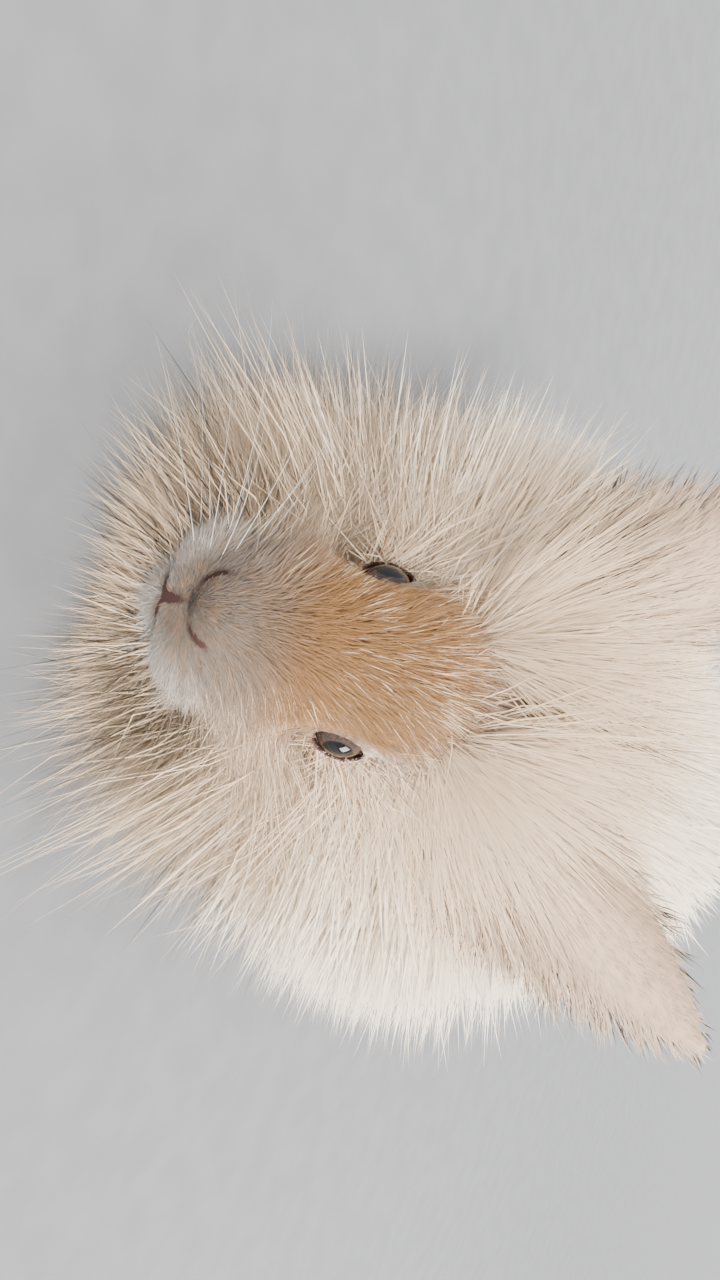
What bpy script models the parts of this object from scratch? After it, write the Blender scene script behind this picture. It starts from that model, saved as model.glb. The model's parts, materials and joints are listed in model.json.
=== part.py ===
"""A life-size English Angora rabbit lying on its belly, each part of its body one solid.

Units are metres and +Z is up. The rabbit faces -Y, its left side is +X and the floor is z = 0.
The head is built in its own frame, whose origin is midway between the eyes, and is then set in place.
"""

import math
from functools import partial

import bmesh
import bpy
import numpy as np
from mathutils import Matrix, Vector
from mathutils.bvhtree import BVHTree

# Air between pieces that touch, and the height that the lowest wool keeps over the floor
GAP = 0.0003
WOOL_OVER_FLOOR = 0.0015

# Points closer than the first count as one, and edges shorter than the second are collapsed after a union
WELD = 0.0000004
SHORTEST_EDGE = 0.00008

# Moves of the operands, tried in turn until a Boolean gives one closed surface
NUDGES = (0.0, 0.00003, 0.00006, 0.0001)
ATTEMPTS = 12

# Head: the middle of the eyes, the nose's turn to the rabbit's left and how far the nose is lowered
EYES_PLACE = Vector((0.004, -0.128, 0.070))
HEAD_TURN = math.radians(6)
HEAD_DROP = math.radians(5)

# Eyes
EYE_RADIUS = 0.0086
EYE_SIDE = 0.0175
EYE_OPENING_HALF = (0.0069, 0.0052)
LID_THICKNESS = 0.0026
LID_HEIGHT = 0.0008
SOCKET_RADIUS = 0.0095

# Ears, in the head's frame
EAR_BASE = Vector((0.0160, 0.0240, 0.0200))
EAR_TIP = Vector((0.0710, 0.0590, 0.0940))
EAR_HALF_WIDTH = 0.0185
EAR_WALL = 0.0030
EAR_CUP_DEPTH = 0.0105

# Coat of the body: how far the wool's tips stand out from the flesh, and the share of that in the dense core
TORSO_COAT = 0.044
CORE_SHARE = 0.42
BELLY_HEIGHT = 0.0060

# Torso flesh from shoulders to rump: place along the spine, height of its middle, half width, half height
TORSO_STATIONS = (
    (-0.050, 0.062, 0.001, 0.001),
    (-0.046, 0.062, 0.046, 0.034),
    (-0.020, 0.062, 0.049, 0.041),
    (0.020, 0.062, 0.052, 0.047),
    (0.060, 0.062, 0.055, 0.050),
    (0.100, 0.060, 0.054, 0.048),
    (0.130, 0.054, 0.044, 0.038),
    (0.148, 0.048, 0.028, 0.024),
    (0.155, 0.045, 0.001, 0.001),
)

# Neck with the dense core of its ruff, from just behind the cheeks to the shoulders
RUFF_STATIONS = (
    (-0.1060, 0.056, 0.001, 0.001),
    (-0.1030, 0.057, 0.032, 0.032),
    (-0.0900, 0.059, 0.050, 0.046),
    (-0.0720, 0.061, 0.060, 0.052),
    (-0.0553, 0.063, 0.064, 0.055),
    (-0.0503, 0.063, 0.001, 0.001),
)

# Head flesh from the back of the skull to the nose, in the head's frame: place, height of the middle,
# half width, and height over and under the middle
HEAD_STATIONS = (
    (0.0420, -0.0040, 0.0010, 0.0010, 0.0010),
    (0.0380, -0.0040, 0.0130, 0.0150, 0.0150),
    (0.0250, -0.0050, 0.0210, 0.0270, 0.0260),
    (0.0080, -0.0060, 0.0240, 0.0300, 0.0310),
    (-0.0070, -0.0080, 0.0232, 0.0290, 0.0300),
    (-0.0190, -0.0120, 0.0198, 0.0255, 0.0255),
    (-0.0310, -0.0160, 0.0165, 0.0205, 0.0210),
    (-0.0410, -0.0195, 0.0135, 0.0155, 0.0170),
    (-0.0470, -0.0215, 0.0095, 0.0100, 0.0120),
    (-0.0495, -0.0225, 0.0010, 0.0010, 0.0010),
)

# Forms joined to the head as (place, half sizes), in its frame: muzzle, brow and dense core of the wool
NOSE = ((0, -0.0420, -0.0150), (0.0098, 0.0090, 0.0080))
WHISKER_PAD = ((0.0078, -0.0385, -0.0250), (0.0092, 0.0095, 0.0078))
CHIN = ((0, -0.0310, -0.0345), (0.0110, 0.0120, 0.0062))
BROW = ((0.0165, 0.0020, 0.0085), (0.0070, 0.0120, 0.0055))
CHEEK_WOOL = ((0.0250, 0.0200, -0.0150), (0.0210, 0.0200, 0.0230))
CROWN_WOOL = ((0, 0.0280, 0.0220), (0.0200, 0.0160, 0.0160))

# Nostril and mouth lines of the left side, and the width of their grooves
NOSTRIL_LINE = ((0.0000, -0.0512, -0.0205), (0.0045, -0.0508, -0.0192), (0.0092, -0.0468, -0.0150))
PHILTRUM_LINE = ((0, -0.0512, -0.0200), (0, -0.0500, -0.0250), (0, -0.0480, -0.0290))
MOUTH_LINE = (
    (0.0000, -0.0480, -0.0285),
    (0.0060, -0.0465, -0.0310),
    (0.0120, -0.0400, -0.0325),
    (0.0160, -0.0290, -0.0315),
    (0.0185, -0.0200, -0.0300),
)
NOSTRIL_WIDTH = 0.0020
PHILTRUM_WIDTH = 0.0012
MOUTH_WIDTH = 0.0014

# Forelegs: elbow, wrist and paw, left side, as (place, radius)
FORELEG_LINE = (
    ((0.0360, -0.0300, 0.0400), 0.0150),
    ((0.0320, -0.0560, 0.0260), 0.0125),
    ((0.0270, -0.0830, 0.0110), 0.0105),
    ((0.0250, -0.1050, 0.0072), 0.0110),
    ((0.0245, -0.1180, 0.0060), 0.0090),
)

# Hind legs: thigh, and the long foot flat on the floor, left side
THIGH = ((0.0410, 0.0800, 0.0300), (0.0200, 0.0380, 0.0260))
HINDFOOT_LINE = (
    ((0.0430, 0.1000, 0.0130), 0.0120),
    ((0.0440, 0.0700, 0.0110), 0.0115),
    ((0.0470, 0.0300, 0.0095), 0.0120),
    ((0.0500, -0.0050, 0.0085), 0.0125),
    ((0.0515, -0.0180, 0.0075), 0.0095),
)
THIGH_LOWEST = 0.0032
TOE_RADIUS = 0.0045
CLAW_LENGTH = 0.0090

# Room left round a leg, the head and a lock
LEG_ROOM = 0.0020
HEAD_ROOM = 0.0006
LOCK_ROOM = 0.0004

# Tail, turned up against the rump, as (place, half sizes)
TAIL = ((0, 0.1810, 0.0580), (0.0130, 0.0120, 0.0220))

# Locks by place: spacing, length, width, depth of the root, and degrees of lift off the skin at root and tip
TORSO_LOCKS = (0.0210, 0.060, 0.0290, 0.010, 32, 0)
SKIRT_LOCKS = (0.0200, 0.056, 0.0280, 0.009, 42, -4)
RUFF_LOCKS = (0.0140, 0.056, 0.0250, 0.009, 44, 6)
CHEEK_LOCKS = (0.0104, 0.058, 0.0240, 0.008, 48, 20)
CROWN_LOCKS = (0.0105, 0.058, 0.0210, 0.008, 66, 44)
BIB_LOCKS = (0.0110, 0.034, 0.0170, 0.007, 60, 30)
WRIST_LOCKS = (0.0170, 0.020, 0.0140, 0.005, 45, 15)
TAIL_LOCKS = (0.0100, 0.030, 0.0170, 0.006, 50, 20)

# Locks of the ear's rim: spacing, length, width and depth of the root
FRINGE_LOCKS = (0.0120, 0.030, 0.0115, 0.004)

# Limits of the regions of wool. Those of the head are in its own frame
SKIRT_HEIGHT = 0.046
TORSO_WOOL_FRONT = -0.044
RUFF_WOOL_BACK = -0.058
CROWN_BACK, CROWN_HEIGHT = 0.010, 0.016
CHEEK_BACK, CHEEK_LOW_BACK, CHEEK_HEIGHTS, CHEEK_SIDE = 0.014, 0.000, (-0.032, -0.012), 0.017
THROAT_BACK, THROAT_HEIGHT = -0.022, -0.026
WRIST_ALONG, WRIST_HEIGHT = (-0.112, -0.070), 0.006

# The most that skin may face down, or to the front or back, and still grow wool
DOWNWARD = -0.72
SIDEWAYS_END = 0.93

# How fast the wool of the face fans out away from the middle of the face
FAN = 30

# Colour, linear, and roughness by part of the body
LOOKS = {
    "eye": ((0.02, 0.015, 0.02), 0.08),
    "ear": ((0.52, 0.37, 0.25), 0.85),
    "head": ((0.66, 0.48, 0.31), 0.90),
    "foreleg": ((0.74, 0.64, 0.51), 0.90),
    "hindleg": ((0.74, 0.64, 0.51), 0.90),
    "tail": ((0.72, 0.60, 0.46), 0.90),
    "neck": ((0.78, 0.69, 0.57), 0.90),
    "torso": ((0.72, 0.60, 0.46), 0.90),
}

# The order in which the nodes grow their wool, each clear of all the others
NODE_ORDER = (
    "eye_left", "eye_right", "ear_left", "ear_right", "head", "foreleg_left", "foreleg_right",
    "hindleg_left", "hindleg_right", "tail", "neck", "torso",
)
SEED = 11

UP = Vector((0, 0, 1))
HEAD_FRAME = (
    Matrix.Translation(EYES_PLACE)
    @ Matrix.Rotation(HEAD_TURN, 4, "Z")
    @ Matrix.Rotation(HEAD_DROP, 4, "X")
)


def clear_scene():
    for obj in list(bpy.data.objects):
        bpy.data.objects.remove(obj, do_unlink=True)


def mirrored(point, side):
    """The point on the left (side 1) or the right (side -1)."""
    return Vector((point[0] * side, point[1], point[2]))


def new_object(name, points, faces):
    mesh = bpy.data.meshes.new(name)
    mesh.from_pydata([tuple(p) for p in points], [], faces)
    mesh.update()
    obj = bpy.data.objects.new(name, mesh)
    bpy.context.scene.collection.objects.link(obj)
    return obj


def tube_faces(rings, sides, capped=False):
    """Faces of a tube of rings. With capped, the two end rings are closed by a face each."""
    faces = []
    for ring in range(rings - 1):
        for k in range(sides):
            a = ring * sides + k
            b = ring * sides + (k + 1) % sides
            faces.append((a, b, b + sides, a + sides))
    if capped:
        faces.append(tuple(reversed(range(sides))))
        faces.append(tuple(range((rings - 1) * sides, rings * sides)))
    return faces


def outward(obj):
    """Turns the faces of a closed mesh to point out."""
    shape = bmesh.new()
    shape.from_mesh(obj.data)
    bmesh.ops.recalc_face_normals(shape, faces=shape.faces)
    if shape.calc_volume(signed=True) < 0:
        bmesh.ops.reverse_faces(shape, faces=shape.faces)
    shape.to_mesh(obj.data)
    shape.free()
    return obj


def smooth_at(stations, share):
    """A row of the table at a share of its length, on a smooth curve through its rows."""
    table = np.array(stations, float)
    place = min(max(share, 0.0), 1.0) * (len(table) - 1)
    low = min(int(place), len(table) - 2)
    part = place - low
    before, here, after, beyond = table[np.clip([low - 1, low, low + 1, low + 2], 0, len(table) - 1)]
    slope_here, slope_after = (after - before) / 2, (beyond - here) / 2
    square, cube = part * part, part * part * part
    return (
        here * (2 * cube - 3 * square + 1)
        + slope_here * (cube - 2 * square + part)
        + after * (3 * square - 2 * cube)
        + slope_after * (cube - square)
    )


def loft(name, stations, rings, sides, grow=0.0, end_grow=0.0, lowest=None, frame=None):
    """A closed body through ring stations along Y, with wider rings and a longer last end if asked."""
    points = []
    first, last = stations[0][0], stations[-1][0]
    for ring in range(rings):
        share = ring / (rings - 1)
        row = smooth_at(stations, share)
        middle, half_width, over = row[1], row[2], row[3]
        under = row[4] if len(row) > 4 else over
        along = row[0] + end_grow * share**3 * math.copysign(1, last - first)
        swell = grow * math.sin(math.pi * share) ** 0.4
        for k in range(sides):
            angle = 2 * math.pi * k / sides
            tall = over if math.sin(angle) > 0 else under
            x = (max(half_width, 0) + swell) * math.cos(angle)
            z = middle + (max(tall, 0) + swell) * math.sin(angle)
            points.append(Vector((x, along, z if lowest is None else max(z, lowest))))
    if frame:
        points = [frame @ p for p in points]
    obj = new_object(name, points, tube_faces(rings, sides, capped=True))
    return outward(obj)


def ball(name, place, half_sizes, frame=None, detail=2, lowest=None):
    """An ellipsoid of triangles."""
    shape = bmesh.new()
    bmesh.ops.create_icosphere(shape, subdivisions=detail, radius=1)
    for vertex in shape.verts:
        point = Vector(place) + Vector([c * h for c, h in zip(vertex.co, half_sizes)])
        if frame:
            point = frame @ point
        if lowest is not None:
            point.z = max(point.z, lowest)
        vertex.co = point
    mesh = bpy.data.meshes.new(name)
    shape.to_mesh(mesh)
    shape.free()
    obj = bpy.data.objects.new(name, mesh)
    bpy.context.scene.collection.objects.link(obj)
    return outward(obj)


def swept(name, line, sides, rings, frame=None, lowest=None):
    """A limb along a line of (place, radius), with round ends."""
    table = [(*place, radius) for place, radius in line]
    points = []
    for ring in range(rings):
        share = ring / (rings - 1)
        row = smooth_at(table, share)
        ahead = smooth_at(table, share + 0.02) - smooth_at(table, share - 0.02)
        heading = Vector(ahead[:3]).normalized()
        across = heading.cross(UP if abs(heading.z) < 0.95 else Vector((0, 1, 0))).normalized()
        lift = across.cross(heading)
        blunt = max(math.sin(math.pi * share), 0.0) ** 0.25
        radius = float(row[3]) * max(blunt, 0.35)
        for k in range(sides):
            angle = 2 * math.pi * (k + 0.5) / sides
            point = Vector(row[:3]) + radius * (math.cos(angle) * across + math.sin(angle) * lift)
            if frame:
                point = frame @ point
            if lowest is not None:
                point.z = max(point.z, lowest)
            points.append(point)
    return outward(new_object(name, points, tube_faces(rings, sides, capped=True)))


def groove(name, line, width, frame, sides=4):
    """A thin tube along a line on the face, used as a cutter."""
    table = [(*place, width / 2) for place in line]
    rings = 2 * len(line) - 1
    points = []
    for ring in range(rings):
        share = ring / (rings - 1)
        row = smooth_at(table, share)
        ahead = smooth_at(table, share + 0.05) - smooth_at(table, share - 0.05)
        heading = Vector(ahead[:3]).normalized()
        across = heading.cross(Vector((0, 1, 0))).normalized()
        lift = across.cross(heading)
        for k in range(sides):
            angle = 2 * math.pi * k / sides
            offset = (width / 2) * (math.cos(angle) * across + math.sin(angle) * lift)
            points.append(frame @ (Vector(row[:3]) + offset))
    return outward(new_object(name, points, tube_faces(rings, sides, capped=True)))


def arrays_of(obj):
    """Points and triangles of an object, as numpy arrays."""
    mesh = obj.data
    mesh.calc_loop_triangles()
    points = np.empty(len(mesh.vertices) * 3)
    mesh.vertices.foreach_get("co", points)
    faces = np.empty(len(mesh.loop_triangles) * 3, np.int32)
    mesh.loop_triangles.foreach_get("vertices", faces)
    return points.reshape(-1, 3), faces.reshape(-1, 3)


def tree_of(points, faces):
    return BVHTree.FromPolygons([Vector(p) for p in points], [tuple(int(i) for i in f) for f in faces])


def open_spots(shape):
    """Places where a mesh isn't closed, or would not be once points that lie on each other are one."""
    welded = shape.copy()
    bmesh.ops.remove_doubles(welded, verts=welded.verts, dist=WELD)
    spots = [e.verts[0].co.copy() for mesh in (shape, welded) for e in mesh.edges if len(e.link_faces) != 2]
    welded.free()
    return spots


def neighbours(vertex):
    return {edge.other_vert(vertex) for edge in vertex.link_edges}


def without_slivers(shape):
    """The mesh as triangles, with its shortest edges collapsed where that keeps it closed."""
    bmesh.ops.triangulate(shape, faces=shape.faces)
    for sweep in range(4):
        short = [edge for edge in shape.edges if edge.calc_length() < SHORTEST_EDGE]
        short.sort(key=lambda edge: edge.calc_length())
        for edge in short:
            if edge.is_valid and len(neighbours(edge.verts[0]) & neighbours(edge.verts[1])) == 2:
                bmesh.ops.collapse(shape, edges=[edge])
    return shape


def keep_largest(shape):
    """Keeps the largest closed surface, which fills sealed hollows and drops loose scraps."""
    left = set(shape.faces)
    groups = []
    while left:
        seed = left.pop()
        group, open_faces = [seed], [seed]
        while open_faces:
            for edge in open_faces.pop().edges:
                for near in edge.link_faces:
                    if near in left:
                        left.remove(near)
                        group.append(near)
                        open_faces.append(near)
        groups.append(group)
    volumes = [sum(f.verts[0].co.dot(f.verts[1].co.cross(f.verts[2].co)) for f in g) for g in groups]
    keep = groups[int(np.argmax(volumes))]
    scraps = [face for group in groups if group is not keep for face in group]
    bmesh.ops.delete(shape, geom=scraps, context="FACES")


def boolean_result(body, others, operation, nudge):
    """The mesh of one Boolean of the body with closed meshes, each moved a little to end exact contacts."""
    for number, other in enumerate(others):
        turn = 2.4 * number
        other.location = Vector((math.cos(turn), math.sin(turn), math.cos(2 * turn))) * nudge
    group = bpy.data.collections.new(body.name + "_pieces")
    bpy.context.scene.collection.children.link(group)
    for other in others:
        group.objects.link(other)
    modifier = body.modifiers.new(operation.title(), "BOOLEAN")
    modifier.operation = operation
    modifier.operand_type = "COLLECTION"
    modifier.collection = group
    modifier.solver = "MANIFOLD"
    bpy.context.view_layer.update()
    graph = bpy.context.evaluated_depsgraph_get()
    result = bpy.data.meshes.new_from_object(body.evaluated_get(graph))
    body.modifiers.clear()
    bpy.data.collections.remove(group)
    return result


def nearest_distance(obj, spot):
    return min((vertex.co - spot).length for vertex in obj.data.vertices)


def combined(body, others, operation):
    """The body joined with or cut by closed meshes in one applied Boolean. The meshes are then removed.

    A union that comes out open is tried again with small moves, and then without the lock at the open spot.
    """
    others = list(others)
    for attempt in range(ATTEMPTS):
        result = boolean_result(body, others, operation, NUDGES[attempt % len(NUDGES)])
        shape = bmesh.new()
        shape.from_mesh(result)
        shape = without_slivers(shape)
        keep_largest(shape)
        spots = open_spots(shape)
        shape.to_mesh(result)
        shape.free()
        if not spots:
            break
        if attempt >= len(NUDGES) and operation == "UNION":
            crossing = min(others, key=lambda other: nearest_distance(other, spots[0]))
            others.remove(crossing)
            bpy.data.objects.remove(crossing, do_unlink=True)
    if spots:
        raise RuntimeError(f"{body.name} is still open after its {operation.lower()}")
    body.data = result
    for other in others:
        bpy.data.objects.remove(other, do_unlink=True)
    return body


# Rings of a lock as (share of its length, width, thickness)
LOCK_RINGS = ((0.0, 0.70, 1.0), (0.40, 1.0, 0.85), (0.76, 0.74, 0.55))

# Section of a lock, a flat underside with a low ridge, and its half thickness as a share of its width
LOCK_SECTION = ((1.0, -0.35), (0.0, 0.65), (-1.0, -0.35))
LOCK_FLATNESS = 0.26

# Points tried as roots on each node, and the reach in which another node over a root leaves it bare
CANDIDATES = 6000
COVER_REACH = 0.006

# How far a lock is bent to its way out, and its share of the full length, tried in turn
TRIES = ((0, 1.0), (0.25, 1.0), (0.5, 1.0), (0.8, 0.95), (1.2, 0.9), (2.0, 0.8), (0.5, 0.7), (2.0, 0.6))


def lock_arrays(root, heading, tip_heading, normal, length, width, sink, twist, spare=0.0):
    """Points and faces of one flat, tapered, bent lock, made thicker all round by spare."""
    start = root - heading * sink
    bend = root + heading * length * 0.5
    tip = bend + tip_heading * length * 0.5
    tip.z = max(tip.z, WOOL_OVER_FLOOR + spare)
    points = []
    for share, wide, thick in LOCK_RINGS:
        middle = start.lerp(bend, share).lerp(bend.lerp(tip, share), share)
        ahead = (bend.lerp(tip, share) - start.lerp(bend, share)).normalized()
        across = ahead.cross(normal)
        across = across.normalized() if across.length > 1e-6 else ahead.orthogonal().normalized()
        across = Matrix.Rotation(twist, 3, ahead) @ across
        lift = across.cross(ahead)
        half_wide = width / 2 * wide + spare
        half_thick = width * LOCK_FLATNESS * thick + spare
        for aside, above in LOCK_SECTION:
            point = middle + across * half_wide * aside + lift * half_thick * above
            point.z = max(point.z, WOOL_OVER_FLOOR - spare)
            points.append(point)
    points.append(tip)
    sides = len(LOCK_SECTION)
    last = (len(LOCK_RINGS) - 1) * sides
    faces = tube_faces(len(LOCK_RINGS), sides)
    faces.append(tuple(reversed(range(sides))))
    for k in range(sides):
        faces.append((last + k, last + (k + 1) % sides, last + sides))
    return points, faces


def scattered(obj, rng, spacing_at, obstacles):
    """Points spread evenly over the open surface of a mesh, with their normals.

    spacing_at gives the spacing at a point, or None where no wool grows.
    """
    points, faces = arrays_of(obj)
    normals = np.array([v.normal for v in obj.data.vertices])
    corners = points[faces]
    areas = np.linalg.norm(np.cross(corners[:, 1] - corners[:, 0], corners[:, 2] - corners[:, 0]), axis=1)
    picks = rng.choice(len(faces), CANDIDATES, p=areas / areas.sum())
    mix = rng.dirichlet((1, 1, 1), CANDIDATES)
    places = (corners[picks] * mix[:, :, None]).sum(axis=1)
    facing = (normals[faces[picks]] * mix[:, :, None]).sum(axis=1)
    chosen = []
    for place, normal in zip(places, facing):
        place, normal = Vector(place), Vector(normal).normalized()
        spacing = spacing_at(place, normal)
        if spacing is None or any((place - other).length < spacing for other, _ in chosen):
            continue
        covered = any(other.ray_cast(place + normal * GAP / 3, normal, COVER_REACH)[0] for other in obstacles)
        if not covered:
            chosen.append((place, normal))
    return chosen


def grown(obj, rng, spacing_at, style_at, obstacles):
    """Locks over a node, each bent or shortened until it is clear of the other nodes, fused with the node."""
    pieces = []
    for place, normal in scattered(obj, rng, spacing_at, obstacles):
        style = style_at(place, normal, rng)
        way_out = style.pop("way_out", normal)
        for bend, share in TRIES:
            shape = dict(
                style,
                root=place,
                normal=normal,
                heading=(style["heading"] + way_out * bend).normalized(),
                tip_heading=(style["tip_heading"] + way_out * bend).normalized(),
                length=style["length"] * share,
            )
            fat = tree_of(*lock_arrays(**shape, spare=LOCK_ROOM))
            if not any(fat.overlap(other) for other in obstacles):
                pieces.append(outward(new_object(f"{obj.name}_lock", *lock_arrays(**shape))))
                break
    return combined(obj, pieces, "UNION")


def along_surface(flow, normal, lift):
    """A heading that leans off the surface by a lift in degrees, towards where the coat flows."""
    flat = flow - normal * flow.dot(normal)
    flat = flat.normalized() if flat.length > 1e-6 else normal.orthogonal().normalized()
    return (flat * math.cos(math.radians(lift)) + normal * math.sin(math.radians(lift))).normalized()


def lock_style(wool, flow, normal, rng):
    """Size and headings of one lock, varied round the wool's own values."""
    spacing, length, width, sink, root_lift, tip_lift = wool
    flow = flow.normalized() + Vector(rng.normal(0, 0.22, 3))
    droop = Vector((0, 0, -0.10))
    return dict(
        heading=along_surface(flow, normal, root_lift + rng.normal(0, 5)),
        tip_heading=(along_surface(flow, normal, tip_lift + rng.normal(0, 6)) + droop).normalized(),
        length=length * rng.uniform(0.86, 1.12),
        width=width * rng.uniform(0.85, 1.15),
        sink=sink,
        twist=rng.normal(0, 0.25),
    )


def tree(obj):
    points, faces = arrays_of(obj)
    return tree_of(points, faces)


def finish(obj, colour, roughness):
    material = bpy.data.materials.new(obj.name)
    material.use_nodes = True
    shader = material.node_tree.nodes["Principled BSDF"]
    shader.inputs["Base Color"].default_value = (*colour, 1)
    shader.inputs["Roughness"].default_value = roughness
    shader.inputs["Metallic"].default_value = 0
    obj.data.materials.clear()
    obj.data.materials.append(material)
    obj.data.shade_smooth()
    obj.data.set_sharp_from_angle(angle=math.radians(50))


def torso_form():
    core = TORSO_COAT * CORE_SHARE
    return loft("torso", TORSO_STATIONS, 15, 18, core, core, BELLY_HEIGHT)


def neck_form():
    return loft("neck", RUFF_STATIONS, 9, 18, lowest=BELLY_HEIGHT)


def head_form(grow=0.0):
    """Skull, muzzle, brows, the dense wool of the cheeks and crown, in one closed body."""
    body = loft("head", HEAD_STATIONS, 17, 18, grow, grow, frame=HEAD_FRAME)
    pads = [NOSE, CHIN, CROWN_WOOL]
    for place, half in (WHISKER_PAD, BROW, CHEEK_WOOL):
        pads += [(mirrored(place, 1), half), (mirrored(place, -1), half)]
    balls = [ball("pad", place, [size + grow for size in half], HEAD_FRAME) for place, half in pads]
    return combined(body, balls, "UNION")


def tail_form():
    return ball("tail", *TAIL)


def eye_socket(side):
    """The cutter of an eye's socket, a coarse ball that stays clear of the eye all round."""
    return ball("socket", (EYE_SIDE * side, 0, 0), [SOCKET_RADIUS] * 3, HEAD_FRAME)


def eye_ball(side):
    name = "eye_left" if side > 0 else "eye_right"
    return ball(name, (EYE_SIDE * side, 0, 0), [EYE_RADIUS] * 3, HEAD_FRAME, detail=3)


def eyelids(side):
    """A rim of skin round the almond opening of an eye, lying on the eyeball."""
    points, sides, steps = [], 5, 16
    half_long, half_tall = EYE_OPENING_HALF
    middle = Vector((EYE_SIDE * side, 0, 0))
    tube_line = []
    for step in range(steps):
        angle = 2 * math.pi * step / steps
        pointed = 1.0 + 0.16 * max(-math.cos(angle), 0) ** 3
        across = Vector((0, half_long * math.cos(angle) * pointed, half_tall * math.sin(angle)))
        depth = math.sqrt(max(EYE_RADIUS**2 - across.length_squared, 1e-8))
        on_eye = across + Vector((side * depth, 0, 0))
        tube_line.append(middle + on_eye * (1 + LID_HEIGHT / EYE_RADIUS))
    for step in range(steps):
        here = tube_line[step]
        heading = (tube_line[(step + 1) % steps] - tube_line[step - 1]).normalized()
        out = (here - middle).normalized()
        across = heading.cross(out).normalized()
        for k in range(sides):
            angle = 2 * math.pi * k / sides
            offset = LID_THICKNESS / 2 * (math.cos(angle) * across + math.sin(angle) * out)
            points.append(HEAD_FRAME @ (here + offset))
    faces = tube_faces(steps + 1, sides)
    faces = [tuple(i % (steps * sides) for i in face) for face in faces]
    return outward(new_object("lids", points, faces))


def ear_axes(side):
    """Base, tip, width direction and outward direction of the back of an ear, in the head's frame."""
    base, tip = mirrored(EAR_BASE, side), mirrored(EAR_TIP, side)
    axis = (tip - base).normalized()
    back_faces = Vector((-0.35 * side, -1.0, 0.30))
    back_faces = (back_faces - axis * back_faces.dot(axis)).normalized()
    return base, tip, axis.cross(back_faces).normalized(), back_faces


def ear_section(share):
    """Half width, depth of the cup and wall of an ear at a share of its length."""
    leaf = math.sin(math.pi * min(0.16 + 0.84 * share, 0.985)) ** 0.62
    half_width = EAR_HALF_WIDTH * leaf * (0.80 + 0.20 * math.sin(math.pi * share))
    cup = EAR_CUP_DEPTH * (1 - share) ** 0.5 * leaf + 0.0015
    wall = EAR_WALL * (1.15 - 0.55 * share)
    return half_width, cup, wall


def ear_blade(side):
    """One ear: a cupped leaf whose hollow faces out and back."""
    name = "ear_left" if side > 0 else "ear_right"
    base, tip, wide_way, back_way = ear_axes(side)
    rings, arc_steps = 11, 7
    points = []
    for ring in range(rings):
        share = ring / (rings - 1)
        half_width, cup, wall = ear_section(share)
        middle = base.lerp(tip, share)
        for skin in (1, -1):
            for step in range(arc_steps):
                across = skin * (-1 + 2 * step / (arc_steps - 1))
                sag = cup * across * across
                thin = wall / 2 * (1 - 0.7 * across * across)
                place = middle + wide_way * half_width * across + back_way * (skin * thin - sag)
                points.append(HEAD_FRAME @ place)
    sides = 2 * arc_steps
    return outward(new_object(name, points, tube_faces(rings, sides, capped=True)))


def ear_edge(side, share, way):
    """A point on the rim of an ear, towards the way given, at a share of its length."""
    base, tip, wide_way, back_way = ear_axes(side)
    half_width, cup, wall = ear_section(share)
    return base.lerp(tip, share) + way * half_width * 0.94 - back_way * cup * 0.88


def foot_toes(line, side):
    """Four toes with claws at the front of a foot, as (toes, claws)."""
    place, radius = line[-1]
    pieces = []
    for step in (-1.5, -0.5, 0.5, 1.5):
        offset = Vector((step * radius * 0.55, -0.0035 + abs(step) * 0.0022, -0.0022))
        toe = mirrored(place, side) + offset
        half = (TOE_RADIUS, TOE_RADIUS * 1.9, TOE_RADIUS * 1.15)
        pieces.append(ball("toe", toe, half, detail=1, lowest=0.0))
        root = toe + Vector((0, -TOE_RADIUS * 0.9, 0.0005))
        claw_line = (
            (root, 0.0014),
            (root + Vector((0, -CLAW_LENGTH * 0.55, 0.0004)), 0.0011),
            (root + Vector((0, -CLAW_LENGTH, -0.0022)), 0.0008),
        )
        pieces.append(swept("claw", claw_line, 4, 3, lowest=0.0004))
    return pieces


def foreleg(side):
    name = "foreleg_left" if side > 0 else "foreleg_right"
    line = [(mirrored(place, side), radius) for place, radius in FORELEG_LINE]
    leg = swept(name, line, 10, 9, lowest=0.0)
    return combined(leg, foot_toes(FORELEG_LINE, side), "UNION")


def hindleg(side):
    name = "hindleg_left" if side > 0 else "hindleg_right"
    thigh_place, thigh_half = THIGH
    leg = ball(name, mirrored(thigh_place, side), thigh_half, lowest=THIGH_LOWEST)
    line = [(mirrored(place, side), radius) for place, radius in HINDFOOT_LINE]
    foot = swept("foot", line, 10, 9, lowest=0.0)
    return combined(leg, [foot] + foot_toes(HINDFOOT_LINE, side), "UNION")


def leg_room(line, side, thigh=None):
    """Closed shapes a little larger than a leg, which cut its place out of the wool round it."""
    place, radius = line[-1]
    start = Vector(line[0][0]) + (Vector(line[0][0]) - Vector(line[1][0])).normalized() * LEG_ROOM
    wide = [(mirrored(at, side), size + LEG_ROOM) for at, size in [(start, line[0][1]), *line[1:]]]
    half = (radius + 2 * TOE_RADIUS, CLAW_LENGTH + 3 * TOE_RADIUS, 2 * TOE_RADIUS)
    toes = mirrored(place, side) + Vector((0, -TOE_RADIUS, 0))
    room = [swept("room", wide, 10, 9), ball("room", toes, half)]
    if thigh:
        room.append(ball("room", mirrored(thigh[0], side), [size + LEG_ROOM for size in thigh[1]]))
    return room


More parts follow.
